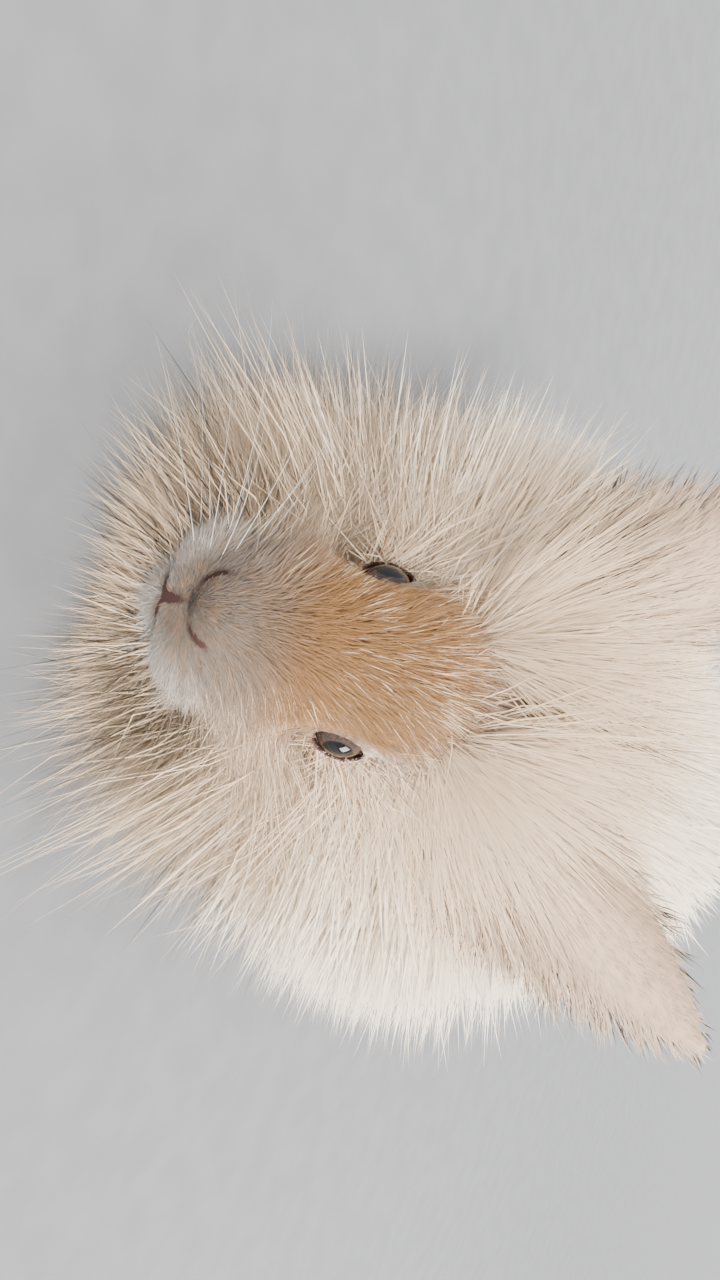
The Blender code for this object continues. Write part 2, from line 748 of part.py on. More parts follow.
def face_grooves():
    """Cutters for the nostrils, the split of the upper lip and the line of the mouth."""
    cutters = [groove("philtrum", PHILTRUM_LINE, PHILTRUM_WIDTH, HEAD_FRAME)]
    for side in (1, -1):
        nostril = [mirrored(p, side) for p in NOSTRIL_LINE]
        mouth = [mirrored(p, side) for p in MOUTH_LINE]
        cutters.append(groove("nostril", nostril, NOSTRIL_WIDTH, HEAD_FRAME))
        cutters.append(groove("mouth", mouth, MOUTH_WIDTH, HEAD_FRAME))
    return cutters


def fattened(obj, depth=GAP * 1.5):
    """The object grown all round, as the cutter that keeps a neighbour clear of it."""
    normals = [vertex.normal.copy() for vertex in obj.data.vertices]
    for vertex, normal in zip(obj.data.vertices, normals):
        vertex.co = vertex.co + normal * depth
    return obj


def settle(nodes):
    """Moves all nodes together so that the middle of their box stands over the origin."""
    corners = [vertex.co for node in nodes for vertex in node.data.vertices]
    middle_x = (min(c.x for c in corners) + max(c.x for c in corners)) / 2
    middle_y = (min(c.y for c in corners) + max(c.y for c in corners)) / 2
    for node in nodes:
        node.data.transform(Matrix.Translation((-middle_x, -middle_y, 0)))


def torso_wool(torso, rng, obstacles):
    def locks_at(place):
        return SKIRT_LOCKS if place.z < SKIRT_HEIGHT else TORSO_LOCKS

    def spacing(place, normal):
        bare = normal.z < DOWNWARD or place.y < TORSO_WOOL_FRONT
        return None if bare else locks_at(place)[0]

    def style(place, normal, rng):
        flow = Vector((normal.x * 0.7, 1.0 - max(normal.y, 0), -0.45 - max(normal.y, 0)))
        if place.z < SKIRT_HEIGHT:
            flow = Vector((normal.x * 0.4, 0.35, -1.0))
        way_out = Vector((normal.x, normal.y, max(normal.z, 0))).normalized()
        return dict(lock_style(locks_at(place), flow, normal, rng), way_out=way_out)

    return grown(torso, rng, spacing, style, obstacles)


def ruff_wool(neck, rng, obstacles):
    def spacing(place, normal):
        bare = abs(normal.y) > SIDEWAYS_END or normal.z < DOWNWARD or place.y > RUFF_WOOL_BACK
        return None if bare else RUFF_LOCKS[0]

    def style(place, normal, rng):
        flow = Vector((normal.x, 0.85, -0.45 if place.z < 0.09 else 0.1))
        return lock_style(RUFF_LOCKS, flow, normal, rng)

    return grown(neck, rng, spacing, style, obstacles)


def head_wool(head, rng, obstacles):
    """Locks of the cheeks, crown and throat. The face in front of them has short fur only."""
    inverse = HEAD_FRAME.inverted()

    def region(place):
        at = inverse @ place
        if at.z > CROWN_HEIGHT and at.y > CROWN_BACK:
            return CROWN_LOCKS
        behind_eye = at.y > (CHEEK_BACK if at.z > CHEEK_HEIGHTS[1] else CHEEK_LOW_BACK)
        if behind_eye and at.z > CHEEK_HEIGHTS[0] and abs(at.x) > CHEEK_SIDE:
            return CHEEK_LOCKS
        if at.z < THROAT_HEIGHT and at.y > THROAT_BACK:
            return BIB_LOCKS
        return None

    def spacing(place, normal):
        locks = region(place)
        return locks[0] if locks else None

    def style(place, normal, rng):
        locks = region(place)
        at = inverse @ place
        if locks is CROWN_LOCKS:
            flow = Vector((at.x * FAN, 0.25, 1.0))
        elif locks is CHEEK_LOCKS:
            flow = Vector((math.copysign(1.0, at.x), 0.0, (at.z - CHEEK_HEIGHTS[1]) * FAN))
        else:
            flow = Vector((at.x * FAN, -0.25, -1.0))
        way_out = (flow.normalized() + Vector((0, -0.35, 0))).normalized()
        return dict(lock_style(locks, flow, normal, rng), way_out=way_out)

    return grown(head, rng, spacing, style, obstacles)


def paw_wool(leg, rng, obstacles):
    def spacing(place, normal):
        at_wrist = WRIST_ALONG[0] < place.y < WRIST_ALONG[1] and place.z > WRIST_HEIGHT
        return WRIST_LOCKS[0] if at_wrist and abs(normal.x) > 0.4 else None

    def style(place, normal, rng):
        return lock_style(WRIST_LOCKS, Vector((normal.x, -0.3, -0.5)), normal, rng)

    return grown(leg, rng, spacing, style, obstacles)


def tail_wool(tail, rng, obstacles):
    def spacing(place, normal):
        return TAIL_LOCKS[0] if normal.y > -0.3 else None

    def style(place, normal, rng):
        return lock_style(TAIL_LOCKS, Vector((normal.x, 0.3, 1.0)), normal, rng)

    return grown(tail, rng, spacing, style, obstacles)


def ear_fringe(ear, rng, obstacles, side):
    """Locks along the outer edge of an ear and on the middle of its inner edge."""
    base, tip, wide_way, back_way = ear_axes(side)
    outer = wide_way if (HEAD_FRAME.to_3x3() @ wide_way).x * side > 0 else -wide_way
    spacing, length, width, sink = FRINGE_LOCKS
    count = int((tip - base).length / spacing)
    along = (tip - base).normalized()
    pieces = []
    for edge, first, last in ((1, 0.10, 0.95), (-1, 0.40, 0.75)):
        for step in range(count):
            share = (step + 0.8) / count
            if not first < share < last:
                continue
            heading = (outer * edge * (1.0 - 0.5 * share) + along * (0.35 + 1.2 * share)).normalized()
            heading = HEAD_FRAME.to_3x3() @ heading
            shape = dict(
                root=HEAD_FRAME @ ear_edge(side, share, outer * edge),
                heading=heading,
                tip_heading=(heading + Vector((0, 0, -0.75 * (1 - share)))).normalized(),
                normal=HEAD_FRAME.to_3x3() @ back_way,
                length=length * (1.30 - 0.85 * share) * rng.uniform(0.85, 1.15),
                width=width * (1.15 - 0.45 * share),
                sink=sink,
                twist=rng.normal(0, 0.2),
            )
            fat = tree_of(*lock_arrays(**shape, spare=LOCK_ROOM))
            if not any(fat.overlap(other) for other in obstacles):
                pieces.append(outward(new_object("fringe", *lock_arrays(**shape))))
    return combined(ear, pieces, "UNION")


def build():
    clear_scene()
    rng = np.random.default_rng(SEED)
    sides = (1, -1)
    head = combined(head_form(), [eyelids(side) for side in sides], "UNION")
    head = combined(head, [eye_socket(side) for side in sides] + face_grooves(), "DIFFERENCE")
    eyes = [eye_ball(side) for side in sides]
    ears = [combined(ear_blade(side), [head_form(HEAD_ROOM)], "DIFFERENCE") for side in sides]
    forelegs = [foreleg(side) for side in sides]
    hindlegs = [hindleg(side) for side in sides]
    around_torso = [room for side in sides for room in leg_room(FORELEG_LINE, side)]
    around_torso += [room for side in sides for room in leg_room(HINDFOOT_LINE, side, THIGH)]
    torso = combined(torso_form(), around_torso, "DIFFERENCE")
    around_neck = [room for side in sides for room in leg_room(FORELEG_LINE, side)]
    around_neck += [head_form(HEAD_ROOM)] + [fattened(ear_blade(side)) for side in sides]
    neck = combined(neck_form(), around_neck, "DIFFERENCE")
    tail = combined(tail_form(), [fattened(torso_form())], "DIFFERENCE")

    nodes = dict(zip(NODE_ORDER, [*eyes, *ears, head, *forelegs, *hindlegs, tail, neck, torso]))
    growers = dict(
        ear_left=partial(ear_fringe, side=1),
        ear_right=partial(ear_fringe, side=-1),
        head=head_wool,
        foreleg_left=paw_wool,
        foreleg_right=paw_wool,
        tail=tail_wool,
        neck=ruff_wool,
        torso=torso_wool,
    )
    for name, grow in growers.items():
        obstacles = [tree(other) for key, other in nodes.items() if key != name]
        nodes[name] = grow(nodes[name], rng, obstacles)
    for name, obj in nodes.items():
        finish(obj, *LOOKS[name.split("_")[0]])
    settle(list(nodes.values()))


if __name__ == "__main__":
    build()
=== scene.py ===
"""The looks of a life-size English Angora rabbit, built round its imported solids.

Units are metres, +Z is up, and the rabbit faces -Y with its left side at +X. The head has its own frame:
its origin is midway between the eyes, and tables of it are in millimetres.
"""

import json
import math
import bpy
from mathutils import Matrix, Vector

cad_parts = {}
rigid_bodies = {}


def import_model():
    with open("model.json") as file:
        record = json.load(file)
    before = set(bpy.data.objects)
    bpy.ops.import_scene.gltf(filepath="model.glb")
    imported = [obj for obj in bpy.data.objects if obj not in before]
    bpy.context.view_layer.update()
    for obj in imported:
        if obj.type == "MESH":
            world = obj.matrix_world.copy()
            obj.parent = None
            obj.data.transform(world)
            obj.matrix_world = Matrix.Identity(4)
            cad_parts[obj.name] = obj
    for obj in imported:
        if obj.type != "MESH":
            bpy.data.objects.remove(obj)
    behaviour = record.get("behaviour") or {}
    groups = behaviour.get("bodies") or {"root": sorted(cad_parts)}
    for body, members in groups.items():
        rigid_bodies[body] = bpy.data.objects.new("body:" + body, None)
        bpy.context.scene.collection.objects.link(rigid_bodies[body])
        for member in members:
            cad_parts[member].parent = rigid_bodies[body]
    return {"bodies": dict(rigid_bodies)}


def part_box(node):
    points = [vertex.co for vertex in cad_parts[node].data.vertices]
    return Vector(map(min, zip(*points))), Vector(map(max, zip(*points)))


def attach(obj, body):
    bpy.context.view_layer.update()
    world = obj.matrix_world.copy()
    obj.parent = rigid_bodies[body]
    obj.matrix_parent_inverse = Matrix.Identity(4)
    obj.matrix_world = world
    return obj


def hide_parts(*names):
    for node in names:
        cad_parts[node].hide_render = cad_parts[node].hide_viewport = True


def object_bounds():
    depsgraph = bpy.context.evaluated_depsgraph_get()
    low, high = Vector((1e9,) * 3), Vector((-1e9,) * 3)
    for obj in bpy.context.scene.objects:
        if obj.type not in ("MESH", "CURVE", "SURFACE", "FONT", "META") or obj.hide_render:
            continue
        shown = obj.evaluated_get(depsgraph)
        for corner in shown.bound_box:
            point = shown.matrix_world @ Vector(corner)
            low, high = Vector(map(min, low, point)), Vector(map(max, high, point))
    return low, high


bl_info = {
    "name": "English Angora Rabbit",
    "version": (1, 0, 0),
    "blender": (4, 5, 0),
    "location": "3D View > Sidebar > Angora",
    "description": "Builds the skin, wool, eyes and whiskers of a life-size Angora rabbit and a studio round it",
    "category": "Add Mesh",
}

from dataclasses import dataclass

import bmesh
import bpy
import numpy as np
from mathutils import Matrix, Vector
from mathutils.bvhtree import BVHTree
from mathutils.kdtree import KDTree

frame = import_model()
cad_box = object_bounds()

MM = 0.001
RIDES_ON = sorted(frame["bodies"])[0]
FLESH_NODES = (
    "torso", "neck", "head", "ear_left", "ear_right",
    "foreleg_left", "foreleg_right", "hindleg_left", "hindleg_right", "tail",
)

# The head's frame: midway between the eyes, turned to the rabbit's left and lowered, as in the solids
EYE_BOXES = [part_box("eye_left"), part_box("eye_right")]
MID_EYES = sum((low + high for low, high in EYE_BOXES), Vector()) / 4
HEAD_TURN = math.radians(6)
HEAD_DROP = math.radians(5)
HEAD = Matrix.Translation(MID_EYES) @ Matrix.Rotation(HEAD_TURN, 4, "Z") @ Matrix.Rotation(HEAD_DROP, 4, "X")

# The body's tables are in the frame in which the eyes are here
EYES_PLACE = Vector((0.004, -0.128, 0.070))
BODY = Matrix.Translation(MID_EYES - EYES_PLACE)

# Flesh of the trunk, from the neck to the rump: along the spine, height of the middle, half width, half height
TRUNK = (
    (-0.050, 0.062, 0.001, 0.001),
    (-0.046, 0.062, 0.046, 0.034),
    (-0.020, 0.062, 0.049, 0.041),
    (0.020, 0.062, 0.052, 0.047),
    (0.060, 0.062, 0.055, 0.050),
    (0.100, 0.060, 0.054, 0.048),
    (0.130, 0.054, 0.044, 0.038),
    (0.148, 0.048, 0.028, 0.024),
    (0.155, 0.045, 0.001, 0.001),
)
NECK = (
    (-0.108, 0.056, 0.001, 0.001),
    (-0.105, 0.056, 0.026, 0.024),
    (-0.090, 0.057, 0.032, 0.030),
    (-0.070, 0.059, 0.040, 0.034),
    (-0.045, 0.061, 0.047, 0.038),
    (-0.025, 0.062, 0.046, 0.038),
    (-0.020, 0.062, 0.001, 0.001),
)

# Flesh of the head from the back of the skull to the nose: place, middle, half width, height over and under
SKULL = (
    (42.0, -4.0, 1.0, 1.0, 1.0),
    (38.0, -4.0, 12.2, 14.2, 14.2),
    (25.0, -5.0, 20.2, 26.2, 25.2),
    (8.0, -6.0, 23.2, 29.2, 30.2),
    (-7.0, -8.0, 22.4, 28.2, 29.2),
    (-19.0, -12.0, 19.0, 24.7, 24.7),
    (-31.0, -16.0, 15.7, 19.7, 20.2),
    (-41.0, -19.5, 12.9, 14.9, 16.4),
    (-47.0, -21.5, 9.1, 9.6, 11.5),
    (-49.3, -22.5, 1.0, 1.0, 1.0),
)

# Forms on the head as (place, half sizes): nose, chin, then the pairs of whisker pad, brow and ear's root
NOSE = ((0, -42.0, -15.0), (9.4, 8.8, 7.7))
CHIN = ((0, -31.0, -34.3), (10.6, 11.6, 6.0))
HEAD_PAIRS = (
    ((7.8, -38.7, -25.0), (9.0, 9.3, 7.6)),
    ((16.5, 2.0, 8.5), (6.8, 11.6, 5.3)),
    ((16.0, 23.0, 18.0), (8.5, 8.0, 8.5)),
)

# Lines of the face on the left side, and the width of each groove
NOSTRIL = (((0, -51.0, -20.3), (4.5, -50.4, -19.0), (9.2, -46.4, -14.8)), 1.4)
PHILTRUM = (((0, -51.0, -20.0), (0, -49.8, -25.0), (0, -47.6, -29.0)), 1.2)
MOUTH = (((0, -47.8, -28.5), (6, -46.2, -31.0), (12, -39.7, -32.5), (16, -28.7, -31.5), (18.5, -19.7, -30)), 1.2)

# Eyes: radius of the socket and of the ball in it, place of their middle at the side, half sizes of the opening,
# the lids over it, and the room that the wool leaves for the eye's sight.
# The opening faces forward and up a little, and its front corner is low. The pupil looks more to the side.
EYE_RADIUS = 8.6
BALL_RADIUS = EYE_RADIUS - 0.1
EYE_SIDE = 17.5
EYE_OPENING = (7.1, 6.3)
OPENING_FORWARD = math.radians(27)
OPENING_UP = math.radians(14)
OPENING_TILT = math.radians(40)
PUPIL_FORWARD = math.radians(25)
LID_OUTSIDE = 1.5
LID_CLEARANCE = 0.15
BARE_LID = 2.2
SIGHT = math.radians(48)
SIGHT_APEX = 2.5
SHORTEST_BY_EYE = 2.6
HOLLOW_DEPTH = 14.0
HOLLOW_RADIUS = 10.5

# Ears: root, tip, half width, depth of the cup and wall
EAR_BASE = Vector((16.0, 24.0, 20.0))
EAR_TIP = Vector((71.0, 59.0, 94.0))
EAR_HALF_WIDTH = 18.2
EAR_CUP = 10.5
EAR_WALL = 2.6

# Limbs of the left side as (place, radius), the thigh and the tail
FORELEG = (
    ((0.0360, -0.0300, 0.0400), 0.0138),
    ((0.0320, -0.0560, 0.0260), 0.0113),
    ((0.0270, -0.0830, 0.0110), 0.0093),
    ((0.0250, -0.1050, 0.0080), 0.0092),
    ((0.0245, -0.1180, 0.0070), 0.0076),
)
HINDLEG = (
    ((0.0430, 0.1000, 0.0140), 0.0108),
    ((0.0440, 0.0700, 0.0120), 0.0103),
    ((0.0470, 0.0300, 0.0105), 0.0106),
    ((0.0500, -0.0050, 0.0095), 0.0110),
    ((0.0515, -0.0180, 0.0085), 0.0082),
)
THIGH = ((0.0410, 0.0800, 0.0310), (0.0190, 0.0365, 0.0245))
TAIL = ((0, 0.1790, 0.0570), (0.0110, 0.0110, 0.0200))
TOE_RADIUS = 0.0040
CLAW_LENGTH = 0.0090
BROW_WHISKERS = 4
SKIN_OVER_FLOOR = 0.0012

# Sizes of the grid that the skin is drawn on
HEAD_GRID = 0.00060
BODY_GRID = 0.0020

# Parts of the skin, by the number that each of its faces carries
HEAD_PART, EAR_LEFT_PART, EAR_RIGHT_PART, TRUNK_PART, FORELEG_PART, HINDLEG_PART, TAIL_PART = range(7)

# The comb of the head, left side, in the head's frame and millimetres. Each row says how the coat lies near
# a place: place, way it flows, degrees of lift off the skin at root and tip, length, width of a strand
HEAD_COMB = (
    (0, -51, -16, 0, 0.35, 1, 30, 20, 3, 0.22),
    (7, -48, -15, 0.5, 0.8, 0.5, 30, 20, 4, 0.22),
    (0, -44, -7, 0, 1, 0.7, 34, 26, 6, 0.24),
    (0, -34, 0, 0, 1, 0.7, 36, 26, 10, 0.25),
    (11, -34, -8, 0.9, 1, 0.1, 38, 28, 14, 0.27),
    (0, -20, 9, 0, 1, 0.6, 38, 28, 14, 0.26),
    (10, -14, 12, 0.4, 1, 0.5, 36, 26, 13, 0.26),
    (0, -6, 19, 0, 1, 0.5, 34, 28, 17, 0.27),
    (11, -2, 18, 0.4, 1, 0.5, 32, 26, 16, 0.27),
    (0, 2, 22, 0, 1, 0.7, 26, 24, 20, 0.3),
    (0, 9, 24, 0, 1, 0.7, 34, 34, 32, 0.32),
    (6, 13, 25, 0.2, 0.9, 0.8, 38, 40, 40, 0.34),
    (0, 17, 25, 0, 0.8, 0.9, 42, 44, 50, 0.34),
    (0, 28, 22, 0, 0.5, 1, 62, 56, 88, 0.4),
    (12, 10, 23, 0.5, 0.8, 0.8, 34, 34, 36, 0.34),
    (13, 20, 24, 0.5, 0.6, 1, 52, 48, 68, 0.34),
    (17, 4, 16, 0.8, 1, 0.6, 26, 24, 18, 0.3),
    (22, 12, 14, 1, 0.6, 0.7, 38, 38, 46, 0.32),
    (22, 20, 12, 1, 0.4, 0.5, 52, 42, 76, 0.4),
    (18, -9, 9, 0.5, 1, 0.5, 22, 16, 5, 0.26),
    (20, -13, 0, 0.6, 1, 0.1, 20, 16, 5, 0.26),
    (22, -10, -8, 0.7, 1, -0.5, 26, 22, 9, 0.28),
    (25, 8, 7, 1, 0.8, 0.4, 28, 24, 14, 0.28),
    (25, 7, -9, 1, 0.7, -0.3, 34, 30, 26, 0.32),
    (25, 14, 2, 1, 0.3, 0.2, 52, 40, 76, 0.34),
    (24, 18, -6, 1, 0.05, 0, 60, 46, 100, 0.4),
    (23, 10, -20, 1, -0.1, -0.3, 54, 40, 104, 0.4),
    (21, -4, -18, 1, 0.15, -0.4, 44, 36, 84, 0.34),
    (19, -12, -24, 1, 0.05, -0.5, 42, 34, 82, 0.34),
    (19, -18, -15, 1, 0.6, -0.3, 34, 28, 30, 0.32),
    (16, -28, -22, 1, 0.4, -0.3, 36, 28, 34, 0.3),
    (13, -38, -24, 1, 0.6, -0.2, 36, 26, 13, 0.26),
    (7, -48, -26, 0.9, 0.5, -0.4, 20, 12, 3.2, 0.24),
    (8, -44, -33, 0.9, 0.3, -0.5, 34, 24, 9, 0.25),
    (0, -42, -38, 0, -0.1, -1, 42, 30, 11, 0.26),
    (9, -32, -38, 0.9, -0.1, -0.8, 44, 34, 36, 0.3),
    (14, -12, -36, 1, -0.15, -0.7, 50, 34, 82, 0.32),
    (0, -16, -38, 0, -0.3, -1, 56, 36, 42, 0.32),
    (0, 6, -36, 0, -0.3, -1, 66, 40, 46, 0.34),
    (20, 30, 0, 1, 0.3, 0.2, 60, 40, 96, 0.4),
    (18, 30, 14, 0.8, 0.5, 0.7, 60, 40, 74, 0.4),
    (8, 34, 18, 0.3, 0.7, 0.8, 60, 44, 76, 0.4),
    (0, 40, 0, 0.2, 1, 0.2, 50, 24, 50, 0.4),
)

# The comb of the trunk and neck, left side, in the body's frame and millimetres
BODY_COMB = (
    (0, -92, 92, 0, 0.9, 0.4, 62, 26, 66, 0.9),
    (0, -60, 98, 0, 1, 0.1, 58, 12, 70, 0.9),
    (38, -85, 62, 1, 0.3, 0, 62, 34, 84, 0.8),
    (40, -62, 60, 1, 0.55, -0.2, 60, 24, 80, 0.9),
    (30, -85, 34, 1, 0, -0.5, 56, 34, 84, 0.8),
    (0, -85, 26, 0, -0.4, -1, 58, 20, 42, 0.9),
    (0, -45, 22, 0, -0.2, -1, 40, 10, 30, 0.9),
    (0, 0, 108, 0, 1, 0, 58, 4, 74, 1),
    (0, 60, 112, 0, 1, 0, 58, 4, 76, 1),
    (0, 115, 102, 0, 1, -0.5, 58, 6, 74, 1),
    (35, 60, 98, 0.5, 1, -0.2, 58, 4, 76, 1),
    (54, 0, 62, 0.8, 0.8, -0.5, 58, 2, 76, 1),
    (55, 60, 62, 0.8, 0.8, -0.5, 58, 2, 76, 1),
    (48, 110, 60, 0.9, 0.9, -0.6, 58, 4, 72, 1),
    (0, 150, 60, 0, 0.7, -0.8, 58, 10, 60, 1),
    (20, 146, 40, 0.5, 0.6, -1, 54, 4, 56, 1),
    (46, -25, 40, 0.8, 0.3, -1, 50, 4, 72, 0.9),
    (46, 10, 32, 0.5, 0.15, -1, 40, -14, 60, 1),
    (46, 60, 30, 0.5, 0.2, -1, 40, -12, 58, 1),
    (38, 115, 30, 0.7, 0.5, -1, 54, 0, 58, 1),
    (18, 20, 14, 0.6, 0.4, -0.6, 24, 0, 26, 1),
    (0, 60, 12, 0.3, 0.6, -0.4, 18, 0, 18, 1),
)

# Rings of a strand as shares of its length, and its width at each as a share of the widest. It ends in points,
# and its root goes into the skin.
LONG_RINGS = ((0.34, 0.70), (1.0, 0.74))
SHORT_RINGS = ((0.46,), (1.0,))
STRAND_FLATNESS = 0.32
STRAND_SIDES = 3
ROOT_UNDER_SKIN = 0.0012
MOST_TRIANGLES = 190000

# A comb's blend: how softly its rows meet, roots at a time, and how far from a root it may be read. Then the
# width left bare at the lines of the face, and how much a strand's normals turn the way the coat faces.
COMB_SOFTNESS = 12.0
COMB_BATCH = 20000
COMB_SHIFT = 3.2
BARE_OF_FUR = 1.2
FACING_SHARE = 0.6

# How far the wool may stand out of the solids' box along X, Y and Z, and how high the wool on the floor lies
BOX_ROOM = (0.0075, 0.0095, 0.0045)
WOOL_ON_FLOOR = (0.0006, 0.0060)
LOWEST_POINT = 0.0003

# The wool of the head faces away from this place in its frame
HEAD_FOCUS = (0.0, 55.0, -12.0)

# The bake's map: each strand is a patch of this size, and the discs and squares of the parts of the skin
BAKE_MAP = "OFBake"
PATCH = 0.003
HEAD_DISC = (0.21, 0.21, 0.20)
BODY_DISC = (0.66, 0.66, 0.33)
EAR_SQUARE = 0.16
LIMB_SQUARE = 0.14

# Half the width of the floor, and the window from the middle of the eyes
FLOOR_REACH = 6.0
WINDOW = Vector((0.78, 0.18, 0.21))
WINDOW_SIZE = 0.32
SKY_COLOUR = (0.92, 0.95, 1.0, 1)

# The camera: from the middle of the eyes, degrees round from -Y towards +X and up, distance, and the picture
CAMERA_AZIMUTH = math.radians(9.4)
CAMERA_ELEVATION = math.radians(28)
CAMERA_DISTANCE = 0.27
CAMERA_ROLL = math.radians(14.8)
CAMERA_OFF_CENTRE = (20.7 / 1023, 4.65 / 1023)
SENSOR = 36.0
LENS = SENSOR * 1023 / 1280


class StudioSettings(bpy.types.PropertyGroup):
    """The floor and lights."""

    floor_colour: bpy.props.FloatVectorProperty(
        name="Floor", description="Colour of the plain floor", subtype="COLOR", size=3, default=(0.17, 0.17, 0.172)
    )
    key_strength: bpy.props.FloatProperty(
        name="Key light", description="Strength of the soft light from the front and side", default=11.5
    )
    fill_strength: bpy.props.FloatProperty(
        name="Fill light", description="Strength of the low soft light in front", default=2.4
    )
    back_strength: bpy.props.FloatProperty(
        name="Back light", description="Strength of the light that edges the wool", default=4.4
    )
    window_power: bpy.props.FloatProperty(
        name="Window", description="Power of the square light that the eye mirrors", unit="POWER", default=7.0
    )
    sky_strength: bpy.props.FloatProperty(
        name="Sky", description="Strength of the light from all round", default=1.0
    )


class CoatSettings(bpy.types.PropertyGroup):
    """Amount, length and colours of the coat."""

    seed: bpy.props.IntProperty(name="Seed", description="Start of the random draws", default=5)
    face_strands: bpy.props.IntProperty(
        name="Face", description="Number of short strands on the face", default=54000
    )
    head_strands: bpy.props.IntProperty(
        name="Head wool", description="Number of long strands on the cheeks, crown and throat", default=86000
    )
    body_strands: bpy.props.IntProperty(
        name="Body wool", description="Number of strands on the neck and trunk", default=46000
    )
    ear_strands: bpy.props.IntProperty(name="Ears", description="Number of strands on both ears", default=13000)
    limb_strands: bpy.props.IntProperty(name="Limbs", description="Number of strands on the limbs", default=8000)
    tail_strands: bpy.props.IntProperty(name="Tail", description="Number of strands on the tail", default=2500)
    length_share: bpy.props.FloatProperty(
        name="Length", description="Length of the coat as a share of its full length", default=1.0
    )
    wool: bpy.props.FloatVectorProperty(
        name="Wool", description="Colour of the long wool of the head", subtype="COLOR", size=3,
        default=(0.885, 0.88, 0.87),
    )
    cream: bpy.props.FloatVectorProperty(
        name="Cream", description="Colour of the body and chin", subtype="COLOR", size=3, default=(0.85, 0.80, 0.72)
    )
    white: bpy.props.FloatVectorProperty(
        name="White", description="Colour of the wool of the crown and chin", subtype="COLOR", size=3,
        default=(0.88, 0.865, 0.835),
    )
    golden: bpy.props.FloatVectorProperty(
        name="Golden fawn", description="Colour of the middle of the face", subtype="COLOR", size=3,
        default=(0.28, 0.138, 0.050),
    )
    # The muzzle's dark is its own browner colour deepened with painted shade
    muzzle: bpy.props.FloatVectorProperty(
        name="Muzzle", description="Colour of the nose and whisker pads", subtype="COLOR", size=3,
        default=(0.085, 0.050, 0.028),
    )
    fawn: bpy.props.FloatVectorProperty(
        name="Fawn", description="Colour of the ears, the cheek and the shading of the back", subtype="COLOR",
        size=3, default=(0.42, 0.23, 0.11),
    )
    tips: bpy.props.FloatVectorProperty(
        name="Tips", description="Colour of the tips of the wool", subtype="COLOR", size=3,
        default=(0.27, 0.155, 0.08),
    )
    # Near black: the lids' own dark rims, and painted shade in the slits of the nostrils and mouth
    bare: bpy.props.FloatVectorProperty(
        name="Bare skin", description="Colour of the lips, nostrils and lids", subtype="COLOR", size=3,
        default=(0.035, 0.014, 0.011),
    )


class EyeSettings(bpy.types.PropertyGroup):
    """Iris and pupil, and the number and length of the whiskers."""

    iris: bpy.props.FloatVectorProperty(
        name="Iris", description="Colour of the iris", subtype="COLOR", size=3, default=(0.030, 0.019, 0.015)
    )
    pupil_share: bpy.props.FloatProperty(
        name="Pupil", description="Radius of the pupil as a share of the ball's", default=0.48
    )
    whiskers: bpy.props.IntProperty(name="Whiskers", description="Whiskers on each side", default=16)
    whisker_length: bpy.props.FloatProperty(
        name="Whisker length", description="Length of the longest whiskers", unit="LENGTH", default=0.075
    )


class Shade:
    """A socket in a material's nodes. Arithmetic on it adds Math or Vector Math nodes."""

    def __init__(self, tree, socket=None):
        self.tree = tree
        self.socket = socket

    def feed(self, target, value):
        """Links a shade to a node's socket, or sets the socket to a plain value."""
        if isinstance(value, Shade):
            self.tree.links.new(value.socket, target)
        elif target.type == "RGBA":
            target.default_value = (*value[:3], 1)
        else:
            target.default_value = value

    def node(self, kind, settings=None, values=None, output=0):
        """Adds a node: its settings first, then the values or links of its sockets by name or number."""
        made = self.tree.nodes.new(kind)
        for name, value in (settings or {}).items():
            setattr(made, name, value)
        for key, value in (values or {}).items():
            self.feed(made.inputs[key], value)
        return Shade(self.tree, made.outputs[output])

    def calculated(self, operation, other, swapped=False):
        kind = "ShaderNodeVectorMath" if self.socket.type == "VECTOR" else "ShaderNodeMath"
        first, second = (other, self) if swapped else (self, other)
        return self.node(kind, {"operation": operation}, {0: first, 1: second})

    def __add__(self, other):
        return self.calculated("ADD", other)

    def __radd__(self, other):
        return self.calculated("ADD", other, True)

    def __sub__(self, other):
        return self.calculated("SUBTRACT", other)

    def __rsub__(self, other):
        return self.calculated("SUBTRACT", other, True)

    def __mul__(self, other):
        return self.calculated("MULTIPLY", other)

    def __rmul__(self, other):
        return self.calculated("MULTIPLY", other, True)

    def __truediv__(self, other):
        return self.calculated("DIVIDE", other)

    def largest(self, other):
        return self.calculated("MAXIMUM", other)

    def smooth(self, low, high):
        """0 below low, 1 above high and a smooth rise between. low may be above high, for a fall."""
        values = {"Value": self, "From Min": low, "From Max": high}
        return self.node("ShaderNodeMapRange", {"interpolation_type": "SMOOTHSTEP"}, values)

    def between(self, first, second):
        """The mix of two colours, first at 0 and second at 1."""
        return self.node("ShaderNodeMix", {"data_type": "RGBA"}, {0: self, 6: first, 7: second}, 2)

    def near(self, centre, half_sizes, soft=0.45):
        """1 within an ellipsoid round a place, falling to 0 over its soft outer share."""
        offset = (self - centre) / half_sizes
        reach = self.node("ShaderNodeVectorMath", {"operation": "LENGTH"}, {0: offset}, "Value")
        return reach.smooth(1 + soft, 1 - soft)

    def attribute(self, name, output):
        return self.node("ShaderNodeAttribute", {"attribute_name": name}, output=output)

    def noise(self, place, scale, detail=2.0):
        values = {"Vector": place, "Scale": scale, "Detail": detail}
        return self.node("ShaderNodeTexNoise", {"noise_dimensions": "3D"}, values)


def new_material(name):
    """An empty material and its shade, ready for nodes."""
    material = bpy.data.materials.new(name)
    material.use_nodes = True
    material.node_tree.nodes.clear()
    return material, Shade(material.node_tree)


def surfaced(shade, shader):
    output = shade.tree.nodes.new("ShaderNodeOutputMaterial")
    shade.tree.links.new(shader.socket, output.inputs["Surface"])


def finished(material, shade, values):
    """The material with one principled shader as its surface."""
    surfaced(shade, shade.node("ShaderNodeBsdfPrincipled", values=values))
    return material


